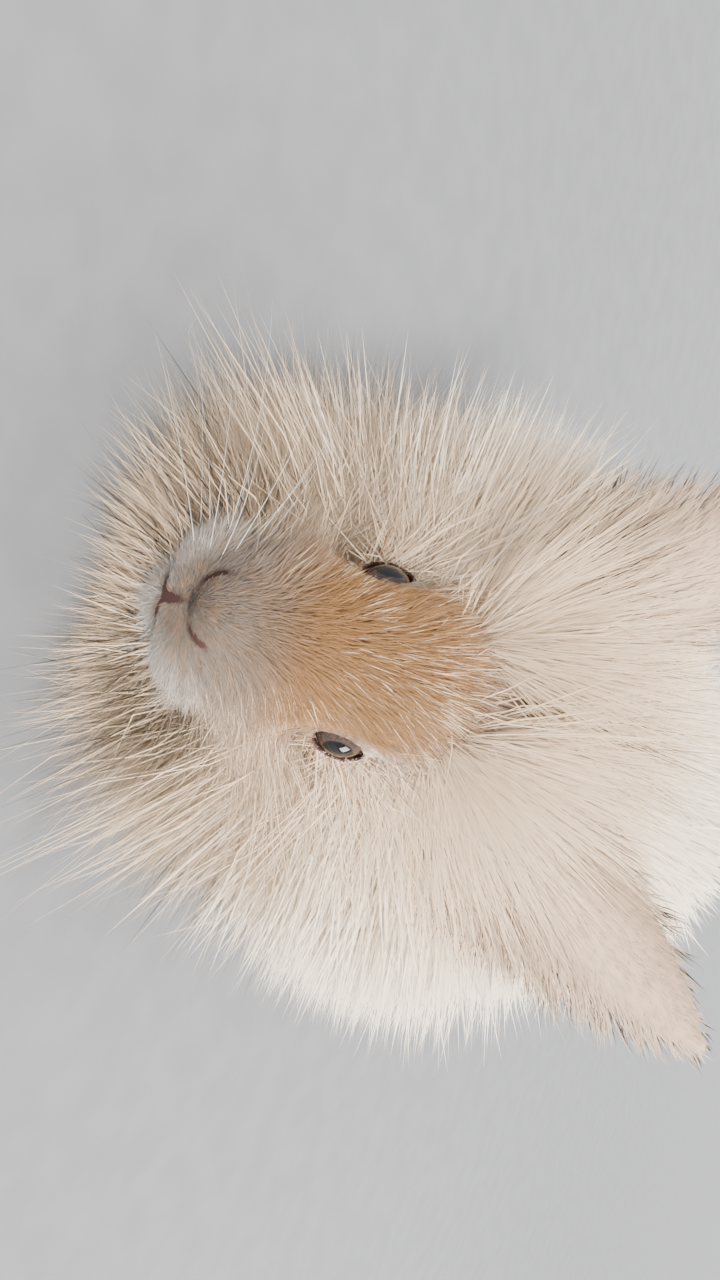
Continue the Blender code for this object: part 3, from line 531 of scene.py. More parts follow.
def markings(shade, settings):
    """The rabbit's colours at a place of its skin, read by the skin and by every strand rooted there."""
    place = shade.attribute("place_mm", "Vector")
    aside, back, height = (shade.node("ShaderNodeSeparateXYZ", values={0: place}, output=axis) for axis in range(3))
    width = shade.node("ShaderNodeMath", {"operation": "ABSOLUTE"}, {0: aside})
    folded = shade.node("ShaderNodeCombineXYZ", values={0: width, 1: back, 2: height})
    patches = shade.noise(place, 0.045, 0.0)

    # The body: cream, with fawn over the back and in soft patches
    over = height.smooth(-30, 30) * back.smooth(40, 90)
    colour = (over * patches.smooth(0.40, 0.66)).between(settings.cream, settings.fawn)

    # The wool of the crown, between the ears, and of the chin and throat is white
    crown = folded.near((0, 22, 26), (20, 17, 16)).largest(folded.near((0, -14, -40), (20, 26, 12)))
    colour = crown.between(colour, settings.white)

    # Fawn on the cheek behind and below the eye
    behind_eye = folded.near((26, 2, -10), (13, 13, 15))
    colour = (behind_eye * 0.75).between(colour, settings.fawn)

    # Golden middle of the face, dark over the muzzle and cream on the chin. The muzzle's dark is its own browner
    # colour deepened with painted shade
    golden = folded.near((0, -15, 2), (28, 34, 33), 0.42)
    colour = golden.between(colour, settings.golden)
    muzzle = folded.near((0, -43, -19), (16, 16, 16), 0.55)
    colour = (muzzle * 0.9).between(colour, settings.muzzle)
    chin = folded.near((0, -34, -42), (14, 16, 7))
    colour = (chin * 0.45).between(colour, settings.cream)

    # Ears are fawn, and lips, nostrils and lids dark: the lids' own dark rims, and painted shade in the slits of the
    # nostrils and mouth
    ears = height.smooth(27, 38) * width.smooth(19, 27)
    colour = (ears * 0.8).between(colour, settings.fawn)
    colour = shade.attribute("bare", "Fac").smooth(0.1, 0.9).between(colour, settings.bare)
    kept = (behind_eye * 0.8).largest(golden * 0.6)
    return colour, aside, kept


def wool_material(name, settings, tip_amount, variety=0.16, fade=None, roughness=0.62, see_through=0.11):
    """Material of the strands: the markings, paler or darker by strand, with fawn tips, and light through it."""
    material, shade = new_material(name)
    colour, aside, kept = markings(shade, settings)
    along = shade.attribute("along", "Fac")
    chance = shade.attribute("chance", "Fac")
    if fade:
        colour = (along.smooth(*fade) * (1 - kept)).between(colour, settings.wool)
    side_share = aside.smooth(-4, -30) * 0.86 + 0.14
    tips = along.smooth(0.45, 1.0) * chance.smooth(0.15, 0.85) * side_share * tip_amount
    colour = tips.between(colour, settings.tips)
    locks = shade.noise(shade.attribute("place_mm", "Vector"), 0.55, 0.0)
    colour = (locks.smooth(0.42, 0.68) * variety).between(colour, settings.tips)
    shine = chance * variety + (1.06 - variety)
    brightness = shade.node("ShaderNodeCombineXYZ", values={0: shine, 1: shine, 2: shine})
    colour = shade.node(
        "ShaderNodeMix", {"data_type": "RGBA", "blend_type": "MULTIPLY"}, {0: 1.0, 6: colour, 7: brightness}, 2
    )
    fibre = shade.node("ShaderNodeBsdfPrincipled", values={
        "Base Color": colour,
        "Roughness": roughness,
        "Specular IOR Level": 0.14,
        "Sheen Weight": 0.08,
        "Sheen Roughness": 0.5,
    })
    glow = shade.node("ShaderNodeBsdfTranslucent", values={"Color": settings.wool})
    surfaced(shade, shade.node("ShaderNodeMixShader", values={0: see_through, 1: fibre, 2: glow}))
    return material


def skin_material(settings):
    """The skin under the coat: the same markings, bare and dark at the lips, nostrils and lids, with a fine bump.
    The dark is the lids' own rims and painted shade in the nostrils and mouth.
    """
    material, shade = new_material("angora_skin")
    colour, _, _ = markings(shade, settings)
    place = shade.attribute("place_mm", "Vector")
    bare = shade.attribute("bare", "Fac")
    grain = shade.noise(place, 1.6, 4.0)
    bump = shade.node("ShaderNodeBump", values={"Strength": 0.35, "Distance": 0.0004, "Height": grain})
    return finished(material, shade, {
        "Base Color": colour,
        "Roughness": 0.85 - bare * 0.25,
        "Specular IOR Level": 0.30,
        "Normal": bump,
    })


def eye_material(settings):
    """A dark pupil in a streaked grey brown iris with a dark rim, under a wet coat."""
    material, shade = new_material("eye_wet")
    place = shade.attribute("eye_place", "Vector")
    flat = place * (1.0, 1.0, 0.0)
    reach = shade.node("ShaderNodeVectorMath", {"operation": "LENGTH"}, {0: flat}, "Value")
    streaks = shade.noise(place * (9.0, 9.0, 2.0), 1.6, 4.0)
    dark = tuple(c * 0.5 for c in settings.iris)
    pale = tuple(c * 1.9 for c in settings.iris)
    colour = streaks.smooth(0.35, 0.70).between(settings.iris, pale)
    colour = reach.smooth(0.66, 0.80).between(colour, dark)
    pupil = reach.smooth(settings.pupil_share + 0.03, settings.pupil_share - 0.03)
    colour = pupil.between(colour, (0.001, 0.001, 0.001))
    return finished(material, shade, {
        "Base Color": colour,
        "Roughness": 0.50,
        "Specular IOR Level": 0.0,
        "Coat Weight": 1.0,
        "Coat Roughness": 0.02,
    })


def plain_material(name, colour, roughness):
    """A material with a slight variation of tone over it."""
    material, shade = new_material(name)
    place = shade.node("ShaderNodeTexCoord", output="Object")
    tone = shade.noise(place, 60.0, 3.0).smooth(0.3, 0.7)
    darker = tuple(c * 0.90 for c in colour)
    return finished(material, shade, {
        "Base Color": tone.between(darker, colour),
        "Roughness": roughness,
    })


def smooth_rows(table, shares):
    """Rows of a table at shares of its length, on a smooth curve through its rows."""
    table = np.array(table, float)
    place = np.clip(shares, 0, 1) * (len(table) - 1)
    low = np.minimum(place.astype(int), len(table) - 2)
    part = (place - low)[:, None]
    before, here, after, beyond = (table[np.clip(low + step, 0, len(table) - 1)] for step in (-1, 0, 1, 2))
    slope_here, slope_after = (after - before) / 2, (beyond - here) / 2
    square, cube = part * part, part * part * part
    return (
        here * (2 * cube - 3 * square + 1)
        + slope_here * (cube - 2 * square + part)
        + after * (3 * square - 2 * cube)
        + slope_after * (cube - square)
    )


def moved(points, matrix):
    """An array of points after a matrix."""
    matrix = np.array(matrix)
    return points @ matrix[:3, :3].T + matrix[:3, 3]


def mirrored(place, side):
    """A place of the left side, or the same place on the right for a side of -1."""
    return (place[0] * side, place[1], place[2])


def tube_faces(rings, sides):
    """Faces of a closed tube of rings, with a face at each end."""
    faces = []
    for ring in range(rings - 1):
        for k in range(sides):
            a, b = ring * sides + k, ring * sides + (k + 1) % sides
            faces.append((a, b, b + sides, a + sides))
    faces.append(tuple(reversed(range(sides))))
    faces.append(tuple(range((rings - 1) * sides, rings * sides)))
    return faces


def loft(table, rings, sides, matrix, scale=1.0):
    """A closed body through rings along Y, as (points, faces)."""
    rows = smooth_rows(table, np.linspace(0, 1, rings)) * scale
    angle = np.linspace(0, 2 * math.pi, sides, endpoint=False)
    under = rows[:, 4] if rows.shape[1] > 4 else rows[:, 3]
    tall = np.where(np.sin(angle)[None] > 0, rows[:, 3][:, None], under[:, None])
    x = np.maximum(rows[:, 2], 0)[:, None] * np.cos(angle)[None]
    z = rows[:, 1][:, None] + np.maximum(tall, 0) * np.sin(angle)[None]
    y = np.repeat(rows[:, 0][:, None], sides, 1)
    return moved(np.stack([x, y, z], -1).reshape(-1, 3), matrix), tube_faces(rings, sides)


def limb(line, rings, sides, matrix, side=1, blunt=0.22):
    """A closed limb with round ends along a line of (place, radius), as (points, faces)."""
    table = [(*mirrored(place, side), radius) for place, radius in line]
    shares = np.linspace(0, 1, rings)
    rows = smooth_rows(table, shares)
    ahead = smooth_rows(table, shares + 0.02)[:, :3] - smooth_rows(table, shares - 0.02)[:, :3]
    ahead /= np.linalg.norm(ahead, axis=1)[:, None]
    across = np.cross(ahead, (0.05, 0.1, 1.0))
    across /= np.linalg.norm(across, axis=1)[:, None]
    lift = np.cross(across, ahead)
    radius = rows[:, 3] * np.maximum(np.sin(math.pi * shares), 0.0) ** blunt
    radius = np.maximum(radius, rows[:, 3] * 0.2)[:, None, None]
    angle = np.linspace(0, 2 * math.pi, sides, endpoint=False)[None, :, None]
    points = rows[:, None, :3] + radius * (np.cos(angle) * across[:, None] + np.sin(angle) * lift[:, None])
    return moved(points.reshape(-1, 3), matrix), tube_faces(rings, sides)


def ball(place, half_sizes, matrix, detail=4):
    """An ellipsoid, as (points, faces)."""
    shape = bmesh.new()
    bmesh.ops.create_icosphere(shape, subdivisions=detail, radius=1)
    points = np.array([vertex.co for vertex in shape.verts]) * half_sizes + place
    faces = [tuple(vertex.index for vertex in face.verts) for face in shape.faces]
    shape.free()
    return moved(points, matrix), faces


def joined(parts):
    """Parts, each (points, faces), as one."""
    points, faces, count = [], [], 0
    for part_points, part_faces in parts:
        points.append(part_points)
        faces += [tuple(i + count for i in face) for face in part_faces]
        count += len(part_points)
    return np.concatenate(points), faces


def linked(name, data):
    """An object with that data, in the scene."""
    obj = bpy.data.objects.new(name, data)
    bpy.context.scene.collection.objects.link(obj)
    return obj


def new_object(name, parts):
    """One mesh object from parts, with all faces turned out."""
    points, faces = joined(parts)
    mesh = bpy.data.meshes.new(name)
    mesh.from_pydata(points.tolist(), [], faces)
    shape = bmesh.new()
    shape.from_mesh(mesh)
    bmesh.ops.recalc_face_normals(shape, faces=shape.faces)
    shape.to_mesh(mesh)
    shape.free()
    return linked(name, mesh)


def applied(obj):
    """The object with its modifiers applied."""
    bpy.context.view_layer.update()
    graph = bpy.context.evaluated_depsgraph_get()
    mesh = bpy.data.meshes.new_from_object(obj.evaluated_get(graph))
    obj.modifiers.clear()
    obj.data = mesh
    return obj


def remeshed(obj, grid, smoothing):
    """The object drawn anew on an even grid, which joins its overlapping forms, and smoothed."""
    remesh = obj.modifiers.new("Grid", "REMESH")
    remesh.mode = "VOXEL"
    remesh.voxel_size = grid
    smooth = obj.modifiers.new("Smooth", "SMOOTH")
    smooth.factor = 0.5
    smooth.iterations = smoothing
    return applied(obj)


def combined(obj, others, operation):
    """The object joined with or cut by others, which are then removed."""
    for other in others:
        modifier = obj.modifiers.new(operation.title(), "BOOLEAN")
        modifier.operation = operation
        modifier.solver = "MANIFOLD"
        modifier.object = other
        applied(obj)
        bpy.data.objects.remove(other, do_unlink=True)
    return obj


def head_points(points_mm):
    """Points of the head's frame, in millimetres, as places of the scene."""
    return moved(np.asarray(points_mm, float) * MM, HEAD)


HEAD_MM = HEAD @ Matrix.Scale(MM, 4)


def groove(line, width, side):
    """A thin tube along a line of the face, as a cutter."""
    table = [(place, width / 2) for place in line]
    return new_object("groove", [limb(table, 24, 10, HEAD_MM, side, blunt=0.4)])


def eye_axes(side):
    """The way an eye's opening faces, and its long way to the front corner and short way up."""
    turn, lift = OPENING_FORWARD, OPENING_UP
    facing = np.array([math.cos(turn) * math.cos(lift) * side, -math.sin(turn) * math.cos(lift), math.sin(lift)])
    ahead = np.array([-math.sin(turn) * side, -math.cos(turn), 0.0])
    up = np.cross(facing, ahead) * -side
    long_way = ahead * math.cos(OPENING_TILT) - up * math.sin(OPENING_TILT)
    short_way = ahead * math.sin(OPENING_TILT) + up * math.cos(OPENING_TILT)
    return facing, long_way, short_way


def on_opening(points_mm, side):
    """Distance from an eye's middle, depth the way it faces, and place on its opening, 1 at the opening's edge."""
    facing, long_way, short_way = eye_axes(side)
    offset = points_mm - (EYE_SIDE * side, 0, 0)
    spot = np.hypot(offset @ long_way / EYE_OPENING[0], offset @ short_way / EYE_OPENING[1])
    return np.linalg.norm(offset, axis=-1), offset @ facing, spot


def almond(side):
    """The cutter of the opening between the lids: an almond with a sharp front corner, drawn out from the eye."""
    facing, long_way, short_way = eye_axes(side)
    angle = np.linspace(0, 2 * math.pi, 40, endpoint=False)
    along = (EYE_OPENING[0] * np.cos(angle) * (1 + 0.16 * np.maximum(np.cos(angle), 0) ** 3))[:, None]
    over = (EYE_OPENING[1] * np.sin(angle) * (1 - 0.10 * np.maximum(np.cos(angle), 0)))[:, None]
    rings = []
    for depth, spread in ((2.5, 0.90), (EYE_RADIUS + 7, 1.16)):
        rings.append(facing * depth + (long_way * along + short_way * over) * spread + (EYE_SIDE * side, 0, 0))
    return new_object("almond", [(moved(np.concatenate(rings), HEAD_MM), tube_faces(2, len(angle)))])


def head_skin():
    """Skull, muzzle, brows and lids in one closed surface with eye openings, nostrils and mouth."""
    parts = [loft(SKULL, 60, 48, HEAD_MM), ball(*NOSE, HEAD_MM), ball(*CHIN, HEAD_MM)]
    for side in (1, -1):
        parts += [ball(mirrored(p, side), half, HEAD_MM) for p, half in HEAD_PAIRS]
    skull = remeshed(new_object("head_skin", parts), HEAD_GRID, 6)
    hollows, lids, cutters = [], [], [groove(*PHILTRUM, 1)]
    for side in (1, -1):
        middle, facing = np.array([EYE_SIDE * side, 0, 0]), eye_axes(side)[0]
        hollows.append(new_object("hollow", [ball(middle + facing * HOLLOW_DEPTH, [HOLLOW_RADIUS] * 3, HEAD_MM)]))
        lids.append(new_object("lid", [ball(middle, [EYE_RADIUS + LID_OUTSIDE] * 3, HEAD_MM)]))
        cutters += [groove(*NOSTRIL, side), groove(*MOUTH, side), almond(side)]
        cutters.append(new_object("socket", [ball(middle, [EYE_RADIUS + LID_CLEARANCE] * 3, HEAD_MM, 5)]))
    head = combined(combined(skull, hollows, "DIFFERENCE"), lids, "UNION")
    head = combined(remeshed(head, HEAD_GRID, 5), cutters, "DIFFERENCE")
    return remeshed(head, HEAD_GRID, 3)


def toes(line, side):
    """Four toes at the front of a foot, as (place, half sizes)."""
    place, radius = line[-1]
    found = []
    for step in (-1.5, -0.5, 0.5, 1.5):
        toe = (place[0] * side + step * radius * 0.62, place[1] - 0.0035 + abs(step) * 0.0022, place[2] - 0.0026)
        found.append((toe, (TOE_RADIUS, TOE_RADIUS * 1.9, TOE_RADIUS * 1.1)))
    return found


def trunk_forms():
    return [loft(TRUNK, 60, 48, BODY), loft(NECK, 40, 40, BODY)]


def limb_forms(line):
    """Both limbs of a pair with their toes."""
    forms = []
    for side in (1, -1):
        forms.append(limb(line, 40, 20, BODY, side))
        forms += [ball(place, half, BODY, 3) for place, half in toes(line, side)]
    return forms


def thigh_forms():
    place, half = THIGH
    return [ball(mirrored(place, side), half, BODY) for side in (1, -1)]


def ear_axes(side):
    """Root, tip, way across and way out of the back of an ear, in the head's frame."""
    base = Vector(mirrored(EAR_BASE, side))
    tip = Vector(mirrored(EAR_TIP, side))
    axis = (tip - base).normalized()
    back = Vector((-0.35 * side, -1.0, 0.30))
    back = (back - axis * back.dot(axis)).normalized()
    return np.array(base), np.array(tip), np.array(axis.cross(back).normalized()), np.array(back)


def ear_section(share):
    """Half width and depth of the cup of an ear at shares of its length."""
    leaf = np.sin(math.pi * np.minimum(0.16 + 0.84 * share, 0.985)) ** 0.62
    half_width = EAR_HALF_WIDTH * leaf * (0.80 + 0.20 * np.sin(math.pi * share))
    cup = EAR_CUP * np.sqrt(np.maximum(1 - share, 0)) * leaf + 1.5
    return half_width, cup


def ear_form(side):
    """One ear: a cupped leaf, thin at its edges."""
    base, tip, wide, back = ear_axes(side)
    rings, steps = 48, 24
    share = np.linspace(0, 1, rings)[:, None, None]
    half_width, cup = ear_section(share)
    across = np.linspace(-1, 1, steps)
    across = np.concatenate([across, across[::-1]])[None, :, None]
    skin = np.concatenate([np.ones(steps), -np.ones(steps)])[None, :, None]
    wall = EAR_WALL * (1.1 - 0.5 * share) / 2 * (1 - 0.72 * across**2)
    middle = base + (tip - base) * share
    points = middle + wide * half_width * across + back * (skin * wall - cup * across**2)
    return moved(points.reshape(-1, 3), HEAD_MM), tube_faces(rings, 2 * steps)


def read(items, field, width=1):
    """A field of a mesh's items: rows of decimals for a width of 3, or whole numbers for 1."""
    values = np.empty(len(items) * width, float if width > 1 else np.int32)
    items.foreach_get(field, values)
    return values.reshape(-1, width) if width > 1 else values


def mesh_arrays(mesh):
    """Points, triangles and vertex normals of a mesh, and the face of each triangle, as arrays."""
    mesh.calc_loop_triangles()
    triangles = np.empty(len(mesh.loop_triangles) * 3, np.int32)
    mesh.loop_triangles.foreach_get("vertices", triangles)
    points, normals = read(mesh.vertices, "co", 3), read(mesh.vertices, "normal", 3)
    return points, triangles.reshape(-1, 3), normals, read(mesh.loop_triangles, "polygon_index")


def set_attribute(mesh, name, kind, domain, values):
    field = "vector" if kind == "FLOAT_VECTOR" else "value"
    attribute = mesh.attributes.new(name, kind, domain)
    attribute.data.foreach_set(field, np.ascontiguousarray(values).ravel())


def in_head_mm(points):
    return moved(points, HEAD.inverted()) / MM


def in_body_mm(points):
    return moved(points, BODY.inverted()) / MM


def on_disc(disc, turn, reach):
    """Spots of the bake's map on a disc, by the turn round it and the share of its radius."""
    middle_x, middle_y, radius = disc
    out = radius * np.clip(reach, 0, 1)
    return np.stack([middle_x + out * np.sin(turn), middle_y + out * np.cos(turn)], -1)


def unwrapped(points, parts):
    """Places of the skin on the bake's map.

    The head has a disc from the nose back, the trunk and tail one from the rump forward, and each ear and each
    pair of limbs a square.
    """
    head, body = in_head_mm(points), in_body_mm(points)
    trunk = np.isin(parts, (TRUNK_PART, TAIL_PART))
    found = on_disc(HEAD_DISC, np.arctan2(head[:, 0], head[:, 2] + 8), (head[:, 1] + 52) / 100)
    found[trunk] = on_disc(BODY_DISC, np.arctan2(body[:, 0], body[:, 2] - 60), (205 - body[:, 1]) / 320)[trunk]
    on_ear = np.stack([head[:, 2] / 110, (head[:, 1] - 10) / 70], -1)
    on_limb = np.stack([(body[:, 0] + 80) / 160, (body[:, 1] + 140) / 270], -1)
    for part, corner, size, spots in (
        (EAR_LEFT_PART, (0.44, 0.02), EAR_SQUARE, on_ear),
        (EAR_RIGHT_PART, (0.62, 0.02), EAR_SQUARE, on_ear),
        (FORELEG_PART, (0.02, 0.45), LIMB_SQUARE, on_limb),
        (HINDLEG_PART, (0.18, 0.45), LIMB_SQUARE, on_limb),
    ):
        found[parts == part] = np.array(corner) + size * np.clip(spots[parts == part], 0, 1)
    return np.clip(found, 0.002, 0.994)


def nearest_parts(places, forms):
    """For each place, the number of the form in whose surface it lies."""
    trees = [BVHTree.FromPolygons(points.tolist(), faces) for points, faces in forms]
    found = np.empty(len(places), np.int32)
    for number, place in enumerate(places):
        spot = Vector(place)
        found[number] = min(range(len(trees)), key=lambda k: trees[k].find_nearest(spot)[3])
    return found


def from_lines(points_mm):
    """Distance to the lines of the nose and mouth, and far for the places behind the face."""
    away = np.full(len(points_mm), 99.0)
    on_face = points_mm[:, 1] < -4
    for line, _ in (NOSTRIL, PHILTRUM, MOUTH):
        for side in (1, -1):
            curve = smooth_rows([mirrored(p, side) for p in line], np.linspace(0, 1, 30))
            found = np.linalg.norm(points_mm[on_face][:, None] - curve[None], axis=2).min(axis=1)
            away[on_face] = np.minimum(away[on_face], found)
    return away


def bareness(points_mm):
    """How bare the skin is: 1 on the lips, in the nostrils and on the rims of the lids. The markings paint it dark,
    with painted shade in the nostrils and mouth.
    """
    bare = np.clip(1.8 - from_lines(points_mm) / 1.3, 0, 1)
    for side in (1, -1):
        away, depth, spot = on_opening(points_mm, side)
        on_lid = (away < EYE_RADIUS + BARE_LID) & (depth > 0)
        bare = np.maximum(bare, np.where(on_lid, np.clip((1.13 - spot) * 9, 0, 1), 0))
    return bare


def random_roots(mesh, count, weight_of, rng):
    """Places spread over the skin by a weight, with their normals."""
    points, faces, normals, owners = mesh_arrays(mesh)
    parts = read(mesh.attributes["part"].data, "value")[owners]
    corners = points[faces]
    areas = np.linalg.norm(np.cross(corners[:, 1] - corners[:, 0], corners[:, 2] - corners[:, 0]), axis=1)
    weights = areas * weight_of(corners.mean(axis=1), parts)
    picks = rng.choice(len(faces), count, p=weights / weights.sum())
    mix = rng.dirichlet((1, 1, 1), count)[:, :, None]
    places = (corners[picks] * mix).sum(axis=1)
    facing = unit((normals[faces[picks]] * mix).sum(axis=1))
    return places, facing, parts[picks]


def unit(vectors):
    return vectors / np.maximum(np.linalg.norm(vectors, axis=-1, keepdims=True), 1e-9)


def combed(places_mm, comb):
    """Flow, lifts, length and width of the coat at places, blended from the rows of a comb and their mirrors."""
    rows = []
    for row in comb:
        for side in (1, -1) if row[0] or row[3] else (1,):
            rows.append((row[0] * side, *row[1:3], row[3] * side, *row[4:]))
    rows = np.array(rows, float)
    found = np.empty((len(places_mm), 7))
    for start in range(0, len(places_mm), COMB_BATCH):
        here = places_mm[start:start + COMB_BATCH]
        away = ((here[:, None] - rows[None, :, :3]) ** 2).sum(axis=2)
        share = 1 / (away + COMB_SOFTNESS) ** 2
        share /= share.sum(axis=1, keepdims=True)
        found[start:start + COMB_BATCH] = share @ rows[:, 3:]
    return found


@dataclass
class Style:
    """How the strands of one piece are drawn: spreads of flow and lift, shares of length, clumping and sway."""

    rings: tuple = SHORT_RINGS
    spread: float = 0.16
    lift_spread: float = 7.0
    shortest: float = 0.6
    clump: float = 0.45
    clumps: float = 0.08
    stray: float = 0.12
    wave: float = 0.02
    droop: float = 0.08


def strand_paths(roots, normals, comb_values, style, rng):
    """Points along each strand from its root to its tip, and its chance number."""
    count = len(roots)
    flow, root_lift, tip_lift, length = comb_values[:, :3], comb_values[:, 3], comb_values[:, 4], comb_values[:, 5]
    flow = unit(flow) + rng.normal(0, style.spread, (count, 3))
    flat = unit(flow - normals * (flow * normals).sum(axis=1, keepdims=True))
    root_angle = np.radians(root_lift + rng.normal(0, style.lift_spread, count))[:, None]
    tip_angle = np.radians(tip_lift + rng.normal(0, style.lift_spread, count))[:, None]
    first = flat * np.cos(root_angle) + normals * np.sin(root_angle)
    last = flat * np.cos(tip_angle) + normals * np.sin(tip_angle)
    last = unit(last + np.array([0, 0, -style.droop]))
    length = length * MM * rng.uniform(style.shortest, 1.06, count)
    shares = np.array([0.0, *style.rings[0], 1.0])
    grow, turn = (shares - shares**2 / 2)[None, :, None], (shares**2 / 2)[None, :, None]
    paths = roots[:, None] + length[:, None, None] * (first[:, None] * grow + last[:, None] * turn)

    # Strands lean to the guide of their lock, more so towards their tips
    guides = max(int(count * style.clumps), 1)
    tree = KDTree(guides)
    for number in range(guides):
        tree.insert(roots[number], number)
    tree.balance()
    own = np.array([tree.find(root)[1] for root in roots.tolist()])
    pull = style.clump * rng.uniform(0.3, 1.0, count)
    pull[rng.uniform(0, 1, count) < style.stray] = 0
    pull = pull[:, None, None] * (shares**1.5)[None, :, None]
    guide_paths = roots[own][:, None] + (paths[own] - roots[own][:, None]) * (length / length[own])[:, None, None]
    paths += (guide_paths - paths) * pull
    sway = rng.normal(0, 1, (count, len(shares), 3)) * (style.wave * length)[:, None, None]
    paths += sway * (shares * (shares < 1))[None, :, None]
    paths[:, 0] = roots - first * np.minimum(ROOT_UNDER_SKIN, length * 0.15)[:, None]
    return paths, rng.uniform(0, 1, count)


def clear_of_eyes(paths):
    """The strands shortened where they would hang in front of an eye."""
    root, reach = in_head_mm(paths[:, 0]), in_head_mm(paths[:, -1]) - in_head_mm(paths[:, 0])
    share = np.ones(len(paths))
    for side in (1, -1):
        facing, _, _ = eye_axes(side)
        apex = np.array([EYE_SIDE * side, 0, 0]) - facing * SIGHT_APEX
        for part in np.linspace(1, 0.1, 10):
            offset = root + reach * part - apex
            depth = offset @ facing
            inside = (depth > EYE_RADIUS * 0.6) & (depth > np.linalg.norm(offset, axis=1) * math.cos(SIGHT))
            share[inside] = np.minimum(share[inside], max(part - 0.1, 0.1))
    length = np.linalg.norm(reach, axis=1)
    share = np.maximum(share, np.minimum(SHORTEST_BY_EYE / length, 1))
    return paths[:, :1] + (paths - paths[:, :1]) * share[:, None, None]


def kept_in_box(paths, rng):
    """The strands shortened where they would leave the solids' box, and laid on the floor."""
    low, high = np.array(cad_box[0]) - BOX_ROOM, np.array(cad_box[1]) + BOX_ROOM
    roots, reach = paths[:, :1], paths - paths[:, :1]
    room = np.where(reach > 0, high - roots, roots - low)
    room[:, :, 2] = np.where(reach[:, :, 2] > 0, room[:, :, 2], 1.0)
    share = np.clip(room / np.maximum(np.abs(reach), 1e-9), 0.2, 1).min(axis=(1, 2))
    share *= np.where(share < 1, rng.uniform(0.84, 1, len(paths)), 1)
    paths = roots + reach * share[:, None, None]
    floor = rng.uniform(*WOOL_ON_FLOOR, len(paths))[:, None] * np.linspace(0.2, 1, paths.shape[1])
    paths[:, :, 2] = np.maximum(paths[:, :, 2], floor)
    return paths


def strand_arrays(paths, facing, widths, style, rng):
    """Points, triangles and normals of the strands, and the share of the length and side of each point.

    The broad side of a strand faces the way the coat does, and so do its normals for the most part, so that
    the coat is lit as one soft mass.
    """
    count, rings = len(paths), paths.shape[1] - 2
    ahead = unit(paths[:, 2:] - paths[:, :-2])
    facing = unit(facing + rng.normal(0, 0.12, facing.shape))[:, None]
    across = unit(np.cross(ahead, facing) + 1e-6)
    lift = np.cross(across, ahead)
    half = (widths[:, None] * np.array(style.rings[1])[None] * MM / 2)[:, :, None]
    middle = paths[:, 1:-1]
    low = lift * half * STRAND_FLATNESS / 2
    sides = [middle - across * half - low, middle + low * 2, middle + across * half - low]
    body = np.stack(sides, axis=2).reshape(count, rings * STRAND_SIDES, 3)
    points = np.concatenate([paths[:, :1], body, paths[:, -1:]], axis=1)
    points[:, 1:, 2] = np.maximum(points[:, 1:, 2], LOWEST_POINT)
    soft = np.stack([lift - across * 0.35, lift, lift + across * 0.35], axis=2)
    soft = soft.reshape(count, rings * STRAND_SIDES, 3)
    normals = unit(np.concatenate([lift[:, :1], soft, lift[:, -1:]], axis=1) + facing * FACING_SHARE)
    faces = [(0, 1 + (k + 1) % STRAND_SIDES, 1 + k) for k in range(STRAND_SIDES)]
    for ring in range(rings - 1):
        for k in range(STRAND_SIDES):
            a, b = 1 + ring * STRAND_SIDES + k, 1 + ring * STRAND_SIDES + (k + 1) % STRAND_SIDES
            faces += [(a, b, b + STRAND_SIDES), (a, b + STRAND_SIDES, a + STRAND_SIDES)]
    last = 1 + (rings - 1) * STRAND_SIDES
    faces += [(last + k, last + (k + 1) % STRAND_SIDES, last + STRAND_SIDES) for k in range(STRAND_SIDES)]
    each = rings * STRAND_SIDES + 2
    faces = (np.array(faces)[None] + (np.arange(count) * each)[:, None, None]).reshape(-1, 3)
    along = np.array([0.0, *np.repeat(style.rings[0], STRAND_SIDES), 1.0])
    aside = np.array([0.5, *([0.0, 0.5, 1.0] * rings), 0.5])
    return points.reshape(-1, 3), faces, normals.reshape(-1, 3), along, aside


def strand_objects(name, roots, facing, parts, paths, chances, widths, style, material, rng):
    """The joined meshes of a piece of coat, each under the most triangles."""
    per_strand = 2 * STRAND_SIDES * len(style.rings[0])
    per_object = MOST_TRIANGLES // per_strand
    maps = unwrapped(roots, parts)
    places_mm = in_head_mm(roots)
    groups = math.ceil(len(roots) / per_object)
    for number in range(groups):
        pick = slice(number * len(roots) // groups, (number + 1) * len(roots) // groups)
        points, faces, normals, along, aside = strand_arrays(paths[pick], facing[pick], widths[pick], style, rng)
        each, count = len(along), len(roots[pick])
        mesh = bpy.data.meshes.new(f"{name}_{number + 1}")
        mesh.vertices.add(len(points))
        mesh.vertices.foreach_set("co", points.ravel())
        mesh.loops.add(len(faces) * 3)
        mesh.loops.foreach_set("vertex_index", faces.ravel().astype(np.int32))
        mesh.polygons.add(len(faces))
        mesh.polygons.foreach_set("loop_start", np.arange(0, len(faces) * 3, 3, dtype=np.int32))
        mesh.update(calc_edges=True)
        mesh.shade_smooth()
        set_attribute(mesh, "custom_normal", "FLOAT_VECTOR", "POINT", normals)
        set_attribute(mesh, "place_mm", "FLOAT_VECTOR", "POINT", np.repeat(places_mm[pick], each, axis=0))
        set_attribute(mesh, "along", "FLOAT", "POINT", np.tile(along, count))
        # Strands rooted near the nostrils, mouth and lid rims are darkened towards the bare colour: painted shade
        # along those slits and rims
        set_attribute(mesh, "bare", "FLOAT", "POINT", np.repeat(bareness(places_mm[pick]) * 0.7, each))
        set_attribute(mesh, "chance", "FLOAT", "POINT", np.repeat(chances[pick], each))
        patch = np.stack([aside, along], -1) * PATCH
        spots = (maps[pick][:, None] + patch[None]).reshape(-1, 2)
        mesh.uv_layers.new(name=BAKE_MAP).data.foreach_set("uv", spots[faces.ravel()].ravel())
        mesh.materials.append(material)
        obj = linked(mesh.name, mesh)
        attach(obj, RIDES_ON)


